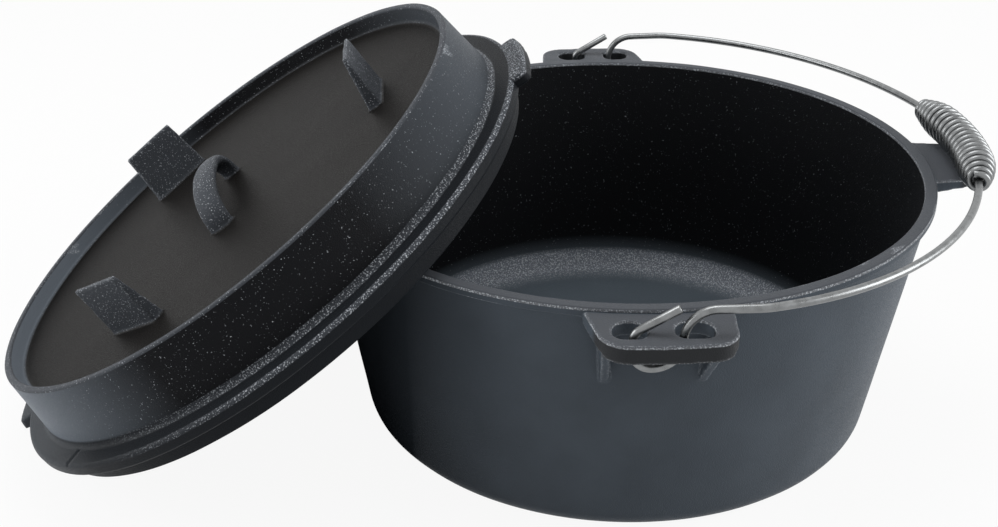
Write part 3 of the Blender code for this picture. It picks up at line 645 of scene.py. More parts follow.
class Finish:
    """A material whose nodes are added one by one."""

    def __init__(self, name):
        self.material = bpy.data.materials.new(name)
        self.material.use_nodes = True
        self.tree = self.material.node_tree
        self.shader = self.tree.nodes["Principled BSDF"]
        self.place = self.add("ShaderNodeTexCoord").outputs["Object"]
        self.specks = 0.0
        # Share of the painted glints on edges and fillets
        self.glint_share = 1.0
        self.gloss = IRON_GLOSS

    def add(self, kind, **settings):
        """A new node with its settings."""
        made = self.tree.nodes.new(kind)
        for key, value in settings.items():
            setattr(made, key, value)
        return made

    def join(self, output, target):
        """A link from an output to an input, or a plain value on the input."""
        if isinstance(output, bpy.types.NodeSocket):
            self.tree.links.new(output, target)
        else:
            target.default_value = output

    def fill(self, made, **values):
        """A node's inputs, each named by its words joined with underscores."""
        for name, value in values.items():
            self.join(value, made.inputs[name.replace("_", " ")])

    def grain(self, scale, detail, roughness):
        """Values of a noise, from 0 to 1."""
        made = self.add("ShaderNodeTexNoise")
        self.fill(made, Vector=self.place, Scale=scale, Detail=detail, Roughness=roughness)
        return made.outputs["Fac"]

    def pebbles(self, scale, smoothness):
        """Distance of a point to the nearest of many scattered points."""
        made = self.add("ShaderNodeTexVoronoi", feature="SMOOTH_F1")
        self.fill(made, Vector=self.place, Scale=scale, Smoothness=smoothness)
        return made.outputs["Distance"]

    def blend(self, fraction, first, last):
        """A colour between two colours."""
        made = self.add("ShaderNodeMix", data_type="RGBA")
        self.join(fraction, made.inputs["Factor"])
        for value, name in ((first, "A"), (last, "B")):
            self.join((*value, 1.0) if isinstance(value, tuple) else value, made.inputs[name])
        return made.outputs["Result"]

    def level(self, value, low, high, new_low=0.0, new_high=1.0):
        """A value carried from one range to another and kept within it."""
        made = self.add("ShaderNodeMapRange")
        self.fill(made, Value=value, From_Min=low, From_Max=high, To_Min=new_low, To_Max=new_high)
        return made.outputs["Result"]

    def work(self, first, last, operation="ADD"):
        """Two values added or otherwise worked together."""
        made = self.add("ShaderNodeMath", operation=operation)
        self.join(first, made.inputs[0])
        self.join(last, made.inputs[1])
        return made.outputs["Value"]

    def times(self, first, last):
        """One value times another."""
        return self.work(first, last, "MULTIPLY")

    def move_to(self, frame_matrix):
        """Lay the textures out in another frame, whose matrix is given."""
        made = self.add("ShaderNodeCombineXYZ")
        for row, target in zip(frame_matrix.inverted(), made.inputs):
            along = self.add("ShaderNodeVectorMath", operation="DOT_PRODUCT")
            self.join(self.place, along.inputs[0])
            along.inputs[1].default_value = row[:3]
            self.join(self.work(along.outputs["Value"], row[3]), target)
        self.place = made.outputs["Vector"]

    def coordinates(self):
        """X, Y and Z of a point and its distance from the Z axis."""
        split = self.add("ShaderNodeSeparateXYZ")
        self.join(self.place, split.inputs["Vector"])
        x, y, z = split.outputs
        squares = self.work(self.times(x, x), self.times(y, y))
        return x, y, z, self.work(squares, 0.5, "POWER")

    def with_painted_glints(self, tone, density):
        """A tone with painted glints, bright specks in it, from sparse at 0 to crowded at 1."""
        start = SPECK_START - SPECK_CROWDING * density
        return self.blend(self.level(self.specks, start, start + SPECK_SOFTNESS), tone, GLINT)

    def band(self, value, low, high, soft):
        """1 where a value lies between two others, 0 outside."""
        rising = self.level(value, low - soft, low)
        return self.times(rising, self.level(value, high, high + soft, 1.0, 0.0))

    def edges(self):
        """1 on sharp edges and in fillets, 0 on plain faces."""
        bend = self.add("ShaderNodeNewGeometry").outputs["Pointiness"]
        return self.work(self.level(bend, *EDGE_BEND), self.level(bend, *FILLET_BEND), "MAXIMUM")

    def bump(self, height, distance, strength):
        """Normals of a relief of a real height."""
        made = self.add("ShaderNodeBump")
        self.fill(made, Height=height, Distance=distance, Strength=strength)
        return made.outputs["Normal"]

    def set(self, name, value):
        """One of the shader's inputs."""
        self.join(value, self.shader.inputs[name])


def cast_iron(name, tone, roughness, zones, layout=None):
    """Seasoned cast iron: near black, with a fine grain from the sand, and glints painted into its colour."""
    finish = Finish(name)
    if layout is not None:
        finish.move_to(layout)
    fine = finish.grain(*FINE_GRAIN)
    pebbles = finish.pebbles(PEBBLE_SCALE, PEBBLE_SMOOTHNESS)
    patches = finish.grain(*PATCH_GRAIN)
    finish.specks = finish.grain(*SPECK_GRAIN)
    dark, light = (scaled(tone, share) for share in PATCH_TONES)
    paint = finish.blend(finish.level(patches, *PATCH_RANGE), dark, light)
    for mask, zone_tone in zones(finish):
        paint = finish.blend(mask, paint, zone_tone)
    # painted glints on edges and in fillets, where the specks show
    edge_glint_places = finish.times(finish.edges(), finish.glint_share)
    glints = finish.times(finish.level(finish.specks, *EDGE_GLINT_RANGE, *EDGE_GLINT_SHARES), edge_glint_places)
    finish.set("Base Color", finish.blend(glints, paint, GLINT))
    rough, smooth = roughness + ROUGHNESS_SPREAD, roughness - ROUGHNESS_SPREAD
    finish.set("Roughness", finish.level(fine, *FINE_RANGE, rough, smooth))
    finish.set("Specular IOR Level", finish.gloss)
    relief = finish.work(pebbles, finish.times(fine, FINE_RELIEF))
    finish.set("Normal", finish.bump(relief, *IRON_RELIEF))
    return finish.material


def pot_zones(finish):
    """Tones of the pot: the lid's painted shadow on the wall beside it, painted shade inside, painted light
    and highlight on its floor, the ears' faces in painted shade, and the tops and edges with painted light
    and glints.
    """
    x, _, z, radius = finish.coordinates()
    # painted shadow of the leaning lid on the pot's wall, with less gloss there too
    yield finish.level(x, *LID_SHADOW_SPAN), POT_LID_SHADOW
    finish.gloss = finish.level(x, *LID_SHADOW_DULL_SPAN, IRON_GLOSS, 0.0)
    depth = finish.work(radius, finish.times(z, -WALL_DRAFT))
    within = finish.level(depth, *past(WALL_RADIUS_AT_BASE, INSIDE), 1.0, 0.0)
    # painted shade inside the pot, with sparse painted glints
    yield within, finish.with_painted_glints(POT_INSIDE_SHADE, density=0.1)
    # painted light on the floor inside, fading up the wall
    low = finish.level(z, *past(POT_FLOOR, FLOOR_FADE), 1.0, 0.0)
    yield finish.times(within, low), POT_FLOOR_LIGHT
    # painted highlight on the floor's fillet, with painted glints
    bend = finish.band(z, *past(POT_FLOOR, FLOOR_BEND), FLOOR_BEND_SOFTNESS)
    yield finish.times(within, bend), finish.with_painted_glints(POT_FLOOR_HIGHLIGHT, density=0.9)
    # rim top lighter: partly painted light from above, partly rubbed metal
    yield finish.level(z, *past(POT_HEIGHT, RIM_TOP)), POT_TOP_LIGHT_AND_RUB
    # painted glints round the rim's outer edge
    edge = finish.band(z, *past(POT_HEIGHT, RIM_GLINT_BAND), EDGE_SOFTNESS)
    yield edge, finish.with_painted_glints(POT_EDGE_GLINTS, density=0.9)
    # painted shade on the ears' outer faces
    yield finish.level(radius, *past(EAR_END, EAR_FACE)), POT_EAR_FACE_SHADE
    # ear tops the same: partly painted light from above, partly rubbed metal
    beyond = finish.level(radius, *past(RIM_RADIUS, BESIDE_RIM))
    top = finish.level(z, *past(EAR_TOP, EAR_UPPER_SIDE))
    yield finish.times(beyond, top), POT_TOP_LIGHT_AND_RUB
    # painted glints round the ears' top edges
    edge = finish.band(z, *past(EAR_TOP, EAR_GLINT_BAND), EDGE_SOFTNESS)
    yield finish.times(beyond, edge), finish.with_painted_glints(POT_EDGE_GLINTS, density=0.9)


def lid_zones(finish):
    """Tones of the lid: its raised wall with painted glints, painted light on that wall's ends, a painted
    reflection and painted light on the ledge, painted highlights on its two beads and the lip, and painted
    light on the legs.
    """
    _, y, z, radius = finish.coordinates()
    # painted glints on edges only above the plate's top
    finish.glint_share = finish.level(z, *past(LID_PLATE_TOP, ABOVE_PLATE))
    highlight_fade = finish.level(y, *BEAD_HIGHLIGHT_FADE, *BEAD_HIGHLIGHT_SHARES)
    # the raised wall, with sparse painted glints
    wall = finish.level(radius, *past(LID_LIP_RADIUS, WALL_FACE))
    yield wall, finish.with_painted_glints(LID_WALL_TONE, density=0.2)
    # painted light on the wall's low end and, weaker, on its high end
    ends = finish.work(finish.level(y, *LOW_END_LIGHT_SPAN), finish.level(y, *HIGH_END_LIGHT_SPAN, 0.0, HIGH_END_LIGHT_SHARE))
    yield finish.times(wall, ends), LID_WALL_END_LIGHT
    # painted reflection on the ledge, and painted light on its low end
    ledge = finish.times(wall, finish.level(z, *LEDGE_RISE))
    yield ledge, LID_LEDGE_REFLECTION
    yield finish.times(ledge, finish.level(y, *LOW_LEDGE_LIGHT_SPAN)), LID_LOW_LEDGE_LIGHT
    # painted highlight on the bead at the wall's foot
    foot = finish.times(finish.band(z, *FOOT_BEAD, FOOT_BEAD_SOFTNESS), highlight_fade)
    yield finish.times(wall, foot), finish.with_painted_glints(LID_BEAD_HIGHLIGHT, density=0.75)
    # painted highlight on the brim's outer edge
    rim = finish.level(radius, *past(LID_LEDGE_RADIUS, BRIM_BEAD))
    rim = finish.times(rim, finish.level(z, *BRIM_BEAD))
    yield finish.times(rim, highlight_fade), finish.with_painted_glints(LID_BEAD_HIGHLIGHT, density=0.75)
    # painted highlight on the lip's top edge
    lip = finish.level(z, *past(LID_LIP_HEIGHT, LIP_BEAD))
    yield finish.times(wall, lip), finish.with_painted_glints(LID_BEAD_HIGHLIGHT, density=0.35)
    # painted light on the legs, with painted glints
    legs = finish.level(z, *past(LID_PLATE_TOP, LEG_FADE))
    legs = finish.times(legs, finish.work(1.0, wall, "SUBTRACT"))
    yield legs, finish.with_painted_glints(LID_LEG_LIGHT, density=0.45)


def galvanised(name, tone, roughness):
    """Galvanised wire: satin grey, faintly mottled, with a fine grain."""
    finish = Finish(name)
    mottle = finish.grain(*STEEL_MOTTLE)
    fine = finish.grain(*STEEL_GRAIN)
    dark, light = (scaled(tone, share) for share in STEEL_TONES)
    finish.set("Base Color", finish.blend(finish.level(mottle, *MOTTLE_RANGE), dark, light))
    finish.set("Roughness", finish.level(mottle, *MOTTLE_RANGE, *past(roughness, STEEL_ROUGHNESS_SHIFTS)))
    finish.set("Metallic", 1.0)
    finish.set("Normal", finish.bump(fine, *STEEL_RELIEF))
    return finish.material


def wall_radius(height):
    """Outer radius of the pot's tapered wall at a height over its base."""
    return WALL_RADIUS_AT_BASE + WALL_DRAFT * height


def pot_section(settings):
    """Half section of the pot, from the middle of its floor over the rim to the middle of its base."""
    inner_at_floor = wall_radius(POT_FLOOR) - settings.wall
    inner_at_rim = WALL_RADIUS_AT_RIM - settings.wall
    rim_foot = POT_HEIGHT - RIM_DEPTH
    return [
        ((0, POT_FLOOR), 0),
        ((inner_at_floor, POT_FLOOR), settings.floor_corner),
        ((inner_at_rim, POT_HEIGHT), settings.rim_edge),
        ((RIM_RADIUS, POT_HEIGHT), settings.rim_edge),
        ((RIM_RADIUS, rim_foot + RIM_OVERHANG), RIM_FOOT_EDGE),
        ((wall_radius(rim_foot), rim_foot), RIM_FOOT_EDGE),
        ((WALL_RADIUS_AT_BASE, 0), BASE_CORNER_RADIUS),
        ((0, 0), 0),
    ]


def wall_patch(name, facing, half_angle, low, high):
    """A stretch of wall just under the real one's skin, so that fillets grow out of it."""
    section = [
        (wall_radius(low) - POT_WALL + EMBED, low),
        (wall_radius(low) - SINK, low),
        (wall_radius(POT_HEIGHT - RIM_DEPTH) - SINK, POT_HEIGHT - RIM_DEPTH - SINK),
        (RIM_RADIUS - SINK, POT_HEIGHT - RIM_DEPTH + RIM_OVERHANG),
        (RIM_RADIUS - SINK, high),
        (wall_radius(high) - POT_WALL + EMBED, high),
    ]
    rings = []
    for step in range(PATCH_STEPS + 1):
        angle = facing + half_angle * (2 * step / PATCH_STEPS - 1)
        rings.append([(r * math.cos(angle), r * math.sin(angle), z) for r, z in section])
    return loft(name, rings)


def ear_parts():
    """The ear at -Y with its holes, its two ribs and the wall that it grows from."""
    root = -(WALL_RADIUS_AT_RIM - POT_WALL + EMBED)
    slanted, steep = EAR_HALF_WIDTHS
    corners = [
        ((-slanted, root), 0),
        ((-slanted + EAR_TAPERS[0], -EAR_END + EAR_CORNER_SETBACKS[0]), EAR_CORNERS[0]),
        ((0, -EAR_END), EAR_END_BEND),
        ((steep - EAR_TAPERS[1], -EAR_END + EAR_CORNER_SETBACKS[1]), EAR_CORNERS[1]),
        ((steep, root), 0),
    ]
    ear = plate("ear", rounded(corners), EAR_UNDERSIDE - EAR_LIP_DEPTH, EAR_TOP)
    lip_inside = -EAR_END + EAR_LIP_WIDTH
    hollow = [(-2 * slanted, lip_inside), (2 * steep, lip_inside), (2 * steep, 0), (-2 * slanted, 0)]
    holes = [plate("hollow", hollow, EAR_UNDERSIDE - 2 * EAR_LIP_DEPTH, EAR_UNDERSIDE)]
    outer = -EAR_END + HOLE_OUTER_STRIP
    for first, last in (
        (-WEB_WIDTH / 2 - HOLE_LENGTHS[0], -WEB_WIDTH / 2),
        (WEB_WIDTH / 2, WEB_WIDTH / 2 + HOLE_LENGTHS[1]),
    ):
        ring = [(first, outer), (last, outer), (last, outer + HOLE_WIDTH), (first, outer + HOLE_WIDTH)]
        bends = (HOLE_CORNERS[0], HOLE_CORNERS[0], HOLE_CORNERS[1], HOLE_CORNERS[1])
        outline = rounded(list(zip(ring, bends)), closed=True)
        holes.append(plate("hole", outline, EAR_UNDERSIDE - EMBED, EAR_TOP + EMBED))
    parts = [cut(ear, holes)]
    foot = EAR_UNDERSIDE - RIB_DEPTH
    wall_y = -wall_radius(EAR_UNDERSIDE)
    for top_x, foot_x in zip(RIB_TOPS, RIB_FEET):
        side = [
            (foot_x, -wall_radius(foot) + EMBED, foot),
            (top_x, wall_y - RIB_REACH, EAR_UNDERSIDE - EMBED),
            (top_x, wall_y - RIB_REACH, EAR_UNDERSIDE + EMBED),
            (top_x, wall_y + EMBED, EAR_UNDERSIDE + EMBED),
        ]
        shifts = (-RIB_THICKNESS / 2, RIB_THICKNESS / 2)
        parts.append(loft("rib", [[(x + shift, y, z) for x, y, z in side] for shift in shifts]))
    low = foot - EAR_PATCH_MARGIN
    parts.append(wall_patch("patch", -math.pi / 2, EAR_PATCH_ANGLE, low, EAR_TOP - EMBED))
    return parts


def tab_parts():
    """The third tab at +X, thinner at its end, with the wall that it grows from."""
    root = WALL_RADIUS_AT_RIM - POT_WALL + EMBED
    corners = [
        ((root, TAB_SIDES[0]), 0),
        ((TAB_END, TAB_SIDES[0] + TAB_TAPER), TAB_CORNER),
        ((TAB_END, TAB_SIDES[1] - TAB_TAPER), TAB_CORNER),
        ((root, TAB_SIDES[1]), 0),
    ]
    tab = plate("tab", rounded(corners), EAR_TOP - TAB_THICKNESS, EAR_TOP)
    slope = TAB_THINNING / (TAB_END - RIM_RADIUS)
    for vertex in tab.data.vertices:
        if vertex.co.z < EAR_TOP - TAB_THICKNESS / 2:
            vertex.co.z += slope * max(0.0, vertex.co.x - RIM_RADIUS)
    low = EAR_TOP - TAB_THICKNESS - TAB_PATCH_MARGIN
    return [tab, wall_patch("patch", 0.0, TAB_PATCH_ANGLE, low, EAR_TOP - EMBED)]


def make_pot(settings):
    """The pot's turned body, its two ears and its third tab."""
    iron = cast_iron("seasoned_iron_pot", settings.iron, settings.roughness, pot_zones)
    body = turned("pot_casting", pot_section(settings))
    undulate(body, settings.unevenness, BODY_WAVE, POT_SEED, lowest=0.0)
    dress(body, "pot", iron, ["pot"])
    ear = cast("pot_ear_front", ear_parts())
    rear = link("pot_ear_rear", ear.data.copy())
    rear.rotation_euler = (0, 0, math.pi)
    tab = cast("pot_tab", tab_parts())
    for seed, piece in enumerate((ear, rear, tab), POT_SEED + 1):
        undulate(piece, settings.unevenness, SMALL_WAVE, seed)
        dress(piece, "pot", iron)


def lid_section(settings):
    """Half section of the lid, out over the plate, down outside to the ring and back along the underside."""
    underside = LID_PLATE_TOP - LID_PLATE
    ring_inner = LID_RING_RADIUS - LID_RING_WALL
    ring_bottom = -LID_BRIM_THICKNESS - LID_RING_DEPTH
    tray = LID_LIP_RADIUS - LID_LIP_WIDTH
    foot_inner = LID_WALL_FOOT_RADIUS - LID_WALL
    corner_inner = foot_inner - LID_WALL_DRAFT * underside / LID_LIP_HEIGHT
    return [
        ((0, LID_PLATE_TOP), 0),
        ((tray - LID_TRAY_DRAFT, LID_PLATE_TOP), LID_TRAY_FILLET),
        ((tray, LID_LIP_HEIGHT), settings.lip_edge),
        ((LID_LIP_RADIUS, LID_LIP_HEIGHT), settings.lip_edge),
        ((LID_WALL_FOOT_RADIUS, 0), settings.wall_fillet),
        ((LID_LEDGE_RADIUS, 0), LID_BRIM_EDGE),
        ((LID_LEDGE_RADIUS, -LID_BRIM_THICKNESS), LID_BRIM_LOWER_EDGE),
        ((LID_RING_RADIUS, -LID_BRIM_THICKNESS), LID_BRIM_FILLET),
        ((LID_RING_RADIUS, ring_bottom), LID_RING_EDGE),
        ((ring_inner, ring_bottom), LID_RING_EDGE),
        ((ring_inner, -LID_BRIM_THICKNESS), LID_RING_FILLET),
        ((foot_inner, 0), LID_WALL_FOOT_FILLET),
        ((corner_inner, underside), LID_UNDERSIDE_FILLET),
        ((0, underside), 0),
    ]


def lid_tab_parts(angle):
    """One lifting tab: its end follows a circle round the lid and leans outward below."""
    root = LID_RING_RADIUS + EMBED
    end = LID_LEDGE_RADIUS + LID_TAB_REACH
    sweep = math.asin(LID_TAB_HALF_WIDTH / end)
    corners = [((root, -LID_TAB_HALF_WIDTH), 0)]
    for step in range(LID_TAB_STEPS + 1):
        turn = sweep * (2 * step / LID_TAB_STEPS - 1)
        bend = LID_TAB_CORNER if step in (0, LID_TAB_STEPS) else 0
        corners.append(((end * math.cos(turn), end * math.sin(turn)), bend))
    corners.append(((root, LID_TAB_HALF_WIDTH), 0))
    tab = plate("tab", rounded(corners), -LID_TAB_DROP - LID_TAB_THICKNESS, -LID_TAB_DROP)
    for vertex in tab.data.vertices:
        if vertex.co.z < -LID_TAB_THICKNESS / 2 and vertex.co.x > LID_LEDGE_RADIUS - EMBED:
            vertex.co.x += LID_TAB_FLARE
    tab.matrix_world = Matrix.Rotation(angle, 4, "Z")
    return [tab]


def notch_cutter():
    """A small wedge that cuts the notch across the top of the lid's brim."""
    rings = []
    for reach in (LID_WALL_FOOT_RADIUS + NOTCH_HALF_WIDTH, LID_LEDGE_RADIUS + EMBED):
        rings.append([
            (reach, 0, -NOTCH_DEPTH),
            (reach, 2 * NOTCH_HALF_WIDTH, NOTCH_DEPTH),
            (reach, -2 * NOTCH_HALF_WIDTH, NOTCH_DEPTH),
        ])
    wedge = loft("notch", rings)
    wedge.matrix_world = Matrix.Rotation(NOTCH_ANGLE, 4, "Z")
    return wedge


def plate_patch(centre, half_x, half_y, angle):
    """A piece of plate just under the real one's skin, so that fillets grow out of it."""
    ring = [(-half_x, -half_y), (half_x, -half_y), (half_x, half_y), (-half_x, half_y)]
    outline = [(centre + x, y) for x, y in ring]
    patch = plate("patch", outline, LID_PLATE_TOP - LID_PATCH_THICKNESS, LID_PLATE_TOP - SINK)
    patch.matrix_world = Matrix.Rotation(angle, 4, "Z")
    return patch


def leg_parts(angle):
    """One leg: its outer face upright, its inner face sloping to a thicker foot."""
    rings = []
    for height, thickness, half_width in zip(
        (LID_PLATE_TOP - EMBED, LID_PLATE_TOP + LEG_HEIGHT), LEG_THICKNESSES, LEG_HALF_WIDTHS
    ):
        rings.append([
            (LEG_RADIUS, -half_width, height),
            (LEG_RADIUS, half_width, height),
            (LEG_RADIUS - thickness, half_width, height),
            (LEG_RADIUS - thickness, -half_width, height),
        ])
    leg = loft("leg", rings)
    leg.matrix_world = Matrix.Rotation(angle, 4, "Z")
    centre = LEG_RADIUS - LEG_THICKNESSES[0] / 2
    half_width = LEG_HALF_WIDTHS[0] + LID_PATCH_SIDE_MARGIN
    return [leg, plate_patch(centre, LEG_PATCH_HALF_LENGTH, half_width, angle)]


def loop_parts():
    """The loop handle: a flat arch with a soft section, standing on the plate along the lid's x."""
    half_thickness = LOOP_THICKNESS / 2
    reach = LOOP_HALF_SPAN - half_thickness
    foot = LID_PLATE_TOP - EMBED
    rise = LOOP_HEIGHT - half_thickness + EMBED
    path = []
    for step in range(LOOP_STEPS + 1):
        turn = math.pi * (1 - step / LOOP_STEPS)
        x = reach * powered(math.cos(turn), 2 / LOOP_ROUNDNESS)
        path.append(Vector((x, foot + rise * math.sin(turn) ** (2 / LOOP_ROUNDNESS))))
    rings = []
    exponent = 2 / LOOP_SECTION_ROUNDNESS
    for index, point in enumerate(path):
        before = path[max(index - 1, 0)]
        after = path[min(index + 1, len(path) - 1)]
        along = (after - before).normalized()
        across = Vector((-along.y, along.x))
        nearness = min(1.0, max(0.0, point.x / reach + 1))
        half_width = LOOP_FAR_HALF_WIDTH + (LOOP_HALF_WIDTH - LOOP_FAR_HALF_WIDTH) * nearness
        ring = []
        for step in range(LOOP_SIDES):
            angle = 2 * math.pi * (step + 0.5) / LOOP_SIDES
            side = powered(math.cos(angle), exponent) * half_width
            lift = powered(math.sin(angle), exponent) * half_thickness
            spot = point + across * lift
            ring.append((LOOP_SHIFT + spot.x, side - LOOP_SHIFT_DOWNHILL, spot.y))
        rings.append(ring)
    half_length = LOOP_HALF_SPAN + LOOP_PATCH_MARGIN
    half_width = LOOP_HALF_WIDTH + LID_PATCH_SIDE_MARGIN
    return [loft("loop", rings), plate_patch(LOOP_SHIFT, half_length, half_width, 0.0)]


def lid_place():
    """Where the lid's own frame lies."""
    turn = Matrix((LID_LEVEL, LID_UPHILL, LID_AXIS)).transposed().to_4x4()
    return Matrix.Translation(LID_CENTRE) @ turn


def make_lid(settings):
    """The lid's turned body, its lifting tabs, legs and loop handle."""
    iron = cast_iron("seasoned_iron_lid", settings.iron, settings.roughness, lid_zones, lid_place())
    pieces = [cut(turned("lid_casting", lid_section(settings)), [notch_cutter()])]
    for number in (0, 1):
        pieces.append(cast("lid_tab_%d" % (number + 1), lid_tab_parts(LID_TAB_ANGLE + number * math.pi)))
    for number in range(LEG_COUNT):
        angle = LEG_ANGLE + 2 * math.pi * number / LEG_COUNT
        pieces.append(cast("lid_leg_%d" % (number + 1), leg_parts(angle)))
    pieces.append(cast("lid_loop_handle", loop_parts()))
    for number, piece in enumerate(pieces):
        wave = SMALL_WAVE if number else BODY_WAVE
        undulate(piece, settings.unevenness, wave, LID_SEED + number)
        piece.data.transform(lid_place())
        dress(piece, "lid", iron, () if number else ["lid"])


def bail_height(reach):
    """Height of the bail's wire over the hinge at a distance from it, so that the grip rests on the tab."""
    rest_rise = EAR_TOP + RUNNING_GAP + GRIP_RADIUS - HINGE_HEIGHT
    part = (reach - BAIL_SHOULDER_REACH) / (BAIL_REACH - BAIL_SHOULDER_REACH)
    return BAIL_SHOULDER_RISE + (rest_rise - BAIL_SHOULDER_RISE) * part


def bail_arc_point(angle):
    """A point of the bail's wide arc, an oval close to an ellipse; the angle is 0 at the grip."""
    exponent = 2 / BAIL_ROUNDNESS
    depth = BAIL_REACH - BAIL_CENTRE_REACH
    x = BAIL_CENTRE_REACH + depth * math.cos(angle) ** exponent
    y = BAIL_HALF_WIDTH * powered(math.sin(angle), exponent)
    return Vector((x, y, HINGE_HEIGHT + bail_height(x)))


def bail_arc(steps):
    """Points along the bail's wide arc."""
    return [bail_arc_point(BAIL_ARC_START_ANGLE * (2 * step / steps - 1)) for step in range(steps + 1)]


def hook_points(side, arc_start):
    """One hook from the tip of its stub past the bail's shoulder, on the side -1 or +1 of Y."""
    bends = [
        (STUB_TIP_X, HOOK_Y, STUB_TIP_RISE, 0),
        (HOOK_RETURN_X, HOOK_Y, STUB_CORNER_RISE, STUB_BEND),
        (HOOK_RETURN_X, HOOK_Y, HOOK_BOTTOM, HOOK_RETURN_BEND),
        (HOOK_LEG_X, HOOK_Y, HOOK_BOTTOM, HOOK_LEG_BEND),
        (HOOK_LEG_X, HOOK_Y, HOOK_TOP, HOOK_TOP_BEND),
        (BAIL_SHOULDER_REACH, BAIL_SHOULDER_HALF_WIDTH, BAIL_SHOULDER_RISE, BAIL_SHOULDER_BEND),
    ]
    corners = [((x, side * y, HINGE_HEIGHT + rise), bend) for x, y, rise, bend in bends]
    return rounded([*corners, (arc_start, 0)])[:-1]


def bail_points():
    """The bail's whole centre line, from one stub to the other."""
    arc = bail_arc(BAIL_STEPS)
    return hook_points(-1, arc[0]) + arc + list(reversed(hook_points(1, arc[-1])))


def coil_points(wire_radius):
    """Centre line of the coil: turns round the bail that close in at both ends."""
    points = bail_arc(COIL_TRACK_STEPS)
    distances = [0.0]
    for last, following in zip(points, points[1:]):
        distances.append(distances[-1] + (following - last).length)
    middle = distances[COIL_TRACK_STEPS // 2] - GRIP_CENTRE_SHIFT
    half = GRIP_LENGTH / 2
    smallest = BAIL_WIRE_RADIUS + RUNNING_GAP + wire_radius
    largest = GRIP_RADIUS - wire_radius
    place = -half
    turn = 0.0
    index = 0
    coil = []
    while place < half:
        while distances[index + 1] - middle < place:
            index += 1
        along = (points[index + 1] - points[index]).normalized()
        spot = points[index] + along * (place - distances[index] + middle)
        up = (Vector((0, 0, 1)) - along * along.z).normalized()
        side = along.cross(up)
        near_end = min(1.0, max(0.0, half - abs(place)) / GRIP_TAPER)
        radius = smallest + (largest - smallest) * math.sin(math.pi / 2 * near_end)
        coil.append(spot + (up * math.cos(turn) + side * math.sin(turn)) * radius)
        turn += 2 * math.pi / COIL_POINTS_PER_TURN
        place += (GRIP_END_PITCH + (GRIP_PITCH - GRIP_END_PITCH) * near_end) / COIL_POINTS_PER_TURN
    tail = 2 * wire_radius
    first = coil[0] + (coil[0] - coil[1]).normalized() * tail
    last = coil[-1] + (coil[-1] - coil[-2]).normalized() * tail
    return [first] + coil + [last]


def make_bail(settings):
    """The bail's wire and the coil grip on it."""
    steel = galvanised("galvanised_wire", settings.steel, settings.roughness)
    bail = tube("bail_wire", bail_points(), settings.wire_radius, WIRE_SIDES)
    dress(bail, "bail", steel, ["bail"])
    coil = tube("grip_coil", coil_points(settings.coil_wire_radius), settings.coil_wire_radius, COIL_SIDES)
    dress(coil, "bail", steel, ["bail_grip"])


def make_camera():
    """The camera at the photograph's viewing angle."""
    data = bpy.data.cameras.new("camera")
    data.sensor_width = SENSOR_WIDTH
    data.lens = SENSOR_WIDTH * FOCAL_PIXELS / IMAGE_WIDTH
    data.clip_start = 0.01
    camera = link("camera", data)
    turn = Matrix.Rotation(CAMERA_TURN, 3, "Z") @ Matrix.Rotation(math.pi / 2 - CAMERA_PITCH, 3, "X")
    turn = turn @ Matrix.Rotation(CAMERA_ROLL, 3, "Z")
    camera.matrix_world = Matrix.Translation(CAMERA_PLACE) @ turn.to_4x4()
    bpy.context.scene.camera = camera


def area_light(name, layout, energy):
    """A large soft light that faces a point."""
    place, target, size = layout
    data = bpy.data.lights.new(name, "AREA")
    data.shape = "RECTANGLE"
    data.size, data.size_y = size
    data.energy = energy
    lamp = link(name, data)
    lamp.location = place
    lamp.rotation_euler = (Vector(target) - Vector(place)).to_track_quat("-Z", "Y").to_euler()


def seen_rays(tree):
    """1 for the rays that show the background: those from the camera, from reflections and through glass."""
    paths = tree.nodes.new("ShaderNodeLightPath")
    seen = paths.outputs["Is Camera Ray"]
    for ray in ("Is Glossy Ray", "Is Transmission Ray"):
        either = tree.nodes.new("ShaderNodeMath")
        either.operation = "MAXIMUM"
        tree.links.new(seen, either.inputs[0])
        tree.links.new(paths.outputs[ray], either.inputs[1])
        seen = either.outputs["Value"]
    return seen


def make_world(ambient):
    """Even soft light, and a white surround for the camera and for reflections."""
    world = bpy.data.worlds.new("studio")
    world.use_nodes = True
    tree = world.node_tree
    tree.nodes.clear()
    backgrounds = []
    for strength in (ambient, 1.0):
        made = tree.nodes.new("ShaderNodeBackground")
        made.inputs["Color"].default_value = WHITE
        made.inputs["Strength"].default_value = strength
        backgrounds.append(made)
    choice = tree.nodes.new("ShaderNodeMixShader")
    tree.links.new(seen_rays(tree), choice.inputs["Fac"])
    tree.links.new(backgrounds[0].outputs["Background"], choice.inputs[1])
    tree.links.new(backgrounds[1].outputs["Background"], choice.inputs[2])
    output = tree.nodes.new("ShaderNodeOutputWorld")
    tree.links.new(choice.outputs["Shader"], output.inputs["Surface"])
    bpy.context.scene.world = world


def make_floor(tone, whiteness):
    """A wide plain floor, which is nearly white in the picture and still takes the shadow."""
    turns = full_turn(STAGE_SIDES)
    outline = [(STAGE_RADIUS * math.cos(turn), STAGE_RADIUS * math.sin(turn)) for turn in turns]
    floor = plate("floor", outline, -STAGE_THICKNESS, 0.0)
    finish = Finish("floor_paint")
    finish.set("Base Color", (*tone, 1.0))
    finish.set("Roughness", 0.9)
    finish.set("Specular IOR Level", 0.1)
    tree = finish.tree
    white = finish.add("ShaderNodeEmission")
    white.inputs["Strength"].default_value = 1.0
    choice = finish.add("ShaderNodeMixShader")
    finish.join(finish.times(seen_rays(tree), whiteness), choice.inputs["Fac"])
    tree.links.new(finish.shader.outputs["BSDF"], choice.inputs[1])
    tree.links.new(white.outputs["Emission"], choice.inputs[2])
    tree.links.new(choice.outputs["Shader"], tree.nodes["Material Output"].inputs["Surface"])
    floor.data.materials.append(finish.material)


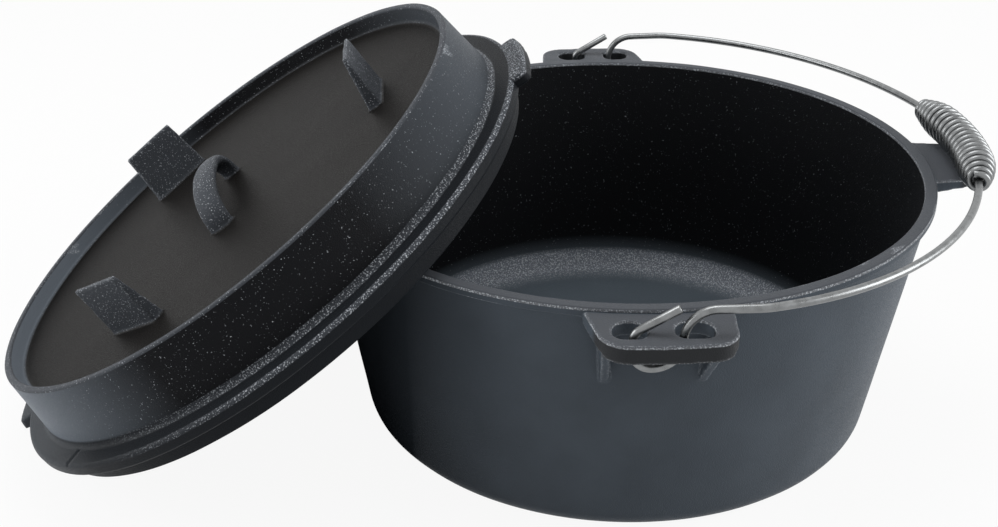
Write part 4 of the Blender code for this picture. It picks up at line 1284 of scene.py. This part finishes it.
class CAMPPOT_OT_pot(Operator):
    """Build the pot around its CAD node"""

    bl_idname = "camppot.pot"
    bl_label = "Pot"

    def execute(self, context):
        make_pot(context.scene.camp_pot)
        return {"FINISHED"}


class CAMPPOT_OT_lid(Operator):
    """Build the lid around its CAD node"""

    bl_idname = "camppot.lid"
    bl_label = "Lid"

    def execute(self, context):
        make_lid(context.scene.camp_lid)
        return {"FINISHED"}


class CAMPPOT_OT_bail(Operator):
    """Build the bail and its coil grip around their CAD nodes"""

    bl_idname = "camppot.bail"
    bl_label = "Bail and grip"

    def execute(self, context):
        make_bail(context.scene.camp_bail)
        return {"FINISHED"}


class CAMPPOT_OT_stage(Operator):
    """Build the floor, the lights and the camera"""

    bl_idname = "camppot.stage"
    bl_label = "Stage"

    def execute(self, context):
        settings = context.scene.camp_stage
        make_camera()
        make_world(settings.ambient)
        make_floor(settings.floor, settings.whiteness)
        area_light("top_light", TOP_LAMP, settings.top_light)
        area_light("left_light", LEFT_LAMP, settings.side_light)
        area_light("right_light", RIGHT_LAMP, RIGHT_LAMP_SHARE * settings.side_light)
        context.scene.view_settings.view_transform = "Standard"
        return {"FINISHED"}


class CAMPPOT_PT_panel(Panel):
    """Lists the groups of the pot with their settings"""

    bl_label = "Camp pot"
    bl_idname = "CAMPPOT_PT_panel"
    bl_space_type = "VIEW_3D"
    bl_region_type = "UI"
    bl_category = "Camp pot"

    def draw(self, context):
        for name, (settings_class, operator) in GROUPS.items():
            settings = getattr(context.scene, name)
            box = self.layout.box()
            box.operator(operator)
            for key in settings_class.__annotations__:
                box.prop(settings, key)


GROUPS = {
    "camp_pot": (PotSettings, "camppot.pot"),
    "camp_lid": (LidSettings, "camppot.lid"),
    "camp_bail": (BailSettings, "camppot.bail"),
    "camp_stage": (StageSettings, "camppot.stage"),
}
CLASSES = (
    *(settings_class for settings_class, _ in GROUPS.values()),
    CAMPPOT_OT_pot,
    CAMPPOT_OT_lid,
    CAMPPOT_OT_bail,
    CAMPPOT_OT_stage,
    CAMPPOT_PT_panel,
)


def register():
    for each in CLASSES:
        bpy.utils.register_class(each)
    for name, (settings_class, _) in GROUPS.items():
        setattr(bpy.types.Scene, name, PointerProperty(type=settings_class))


def unregister():
    for name in GROUPS:
        delattr(bpy.types.Scene, name)
    for each in reversed(CLASSES):
        bpy.utils.unregister_class(each)


def main():
    register()
    bpy.ops.camppot.stage()
    bpy.ops.camppot.pot()
    bpy.ops.camppot.lid()
    bpy.ops.camppot.bail()


if __name__ == "__main__":
    main()
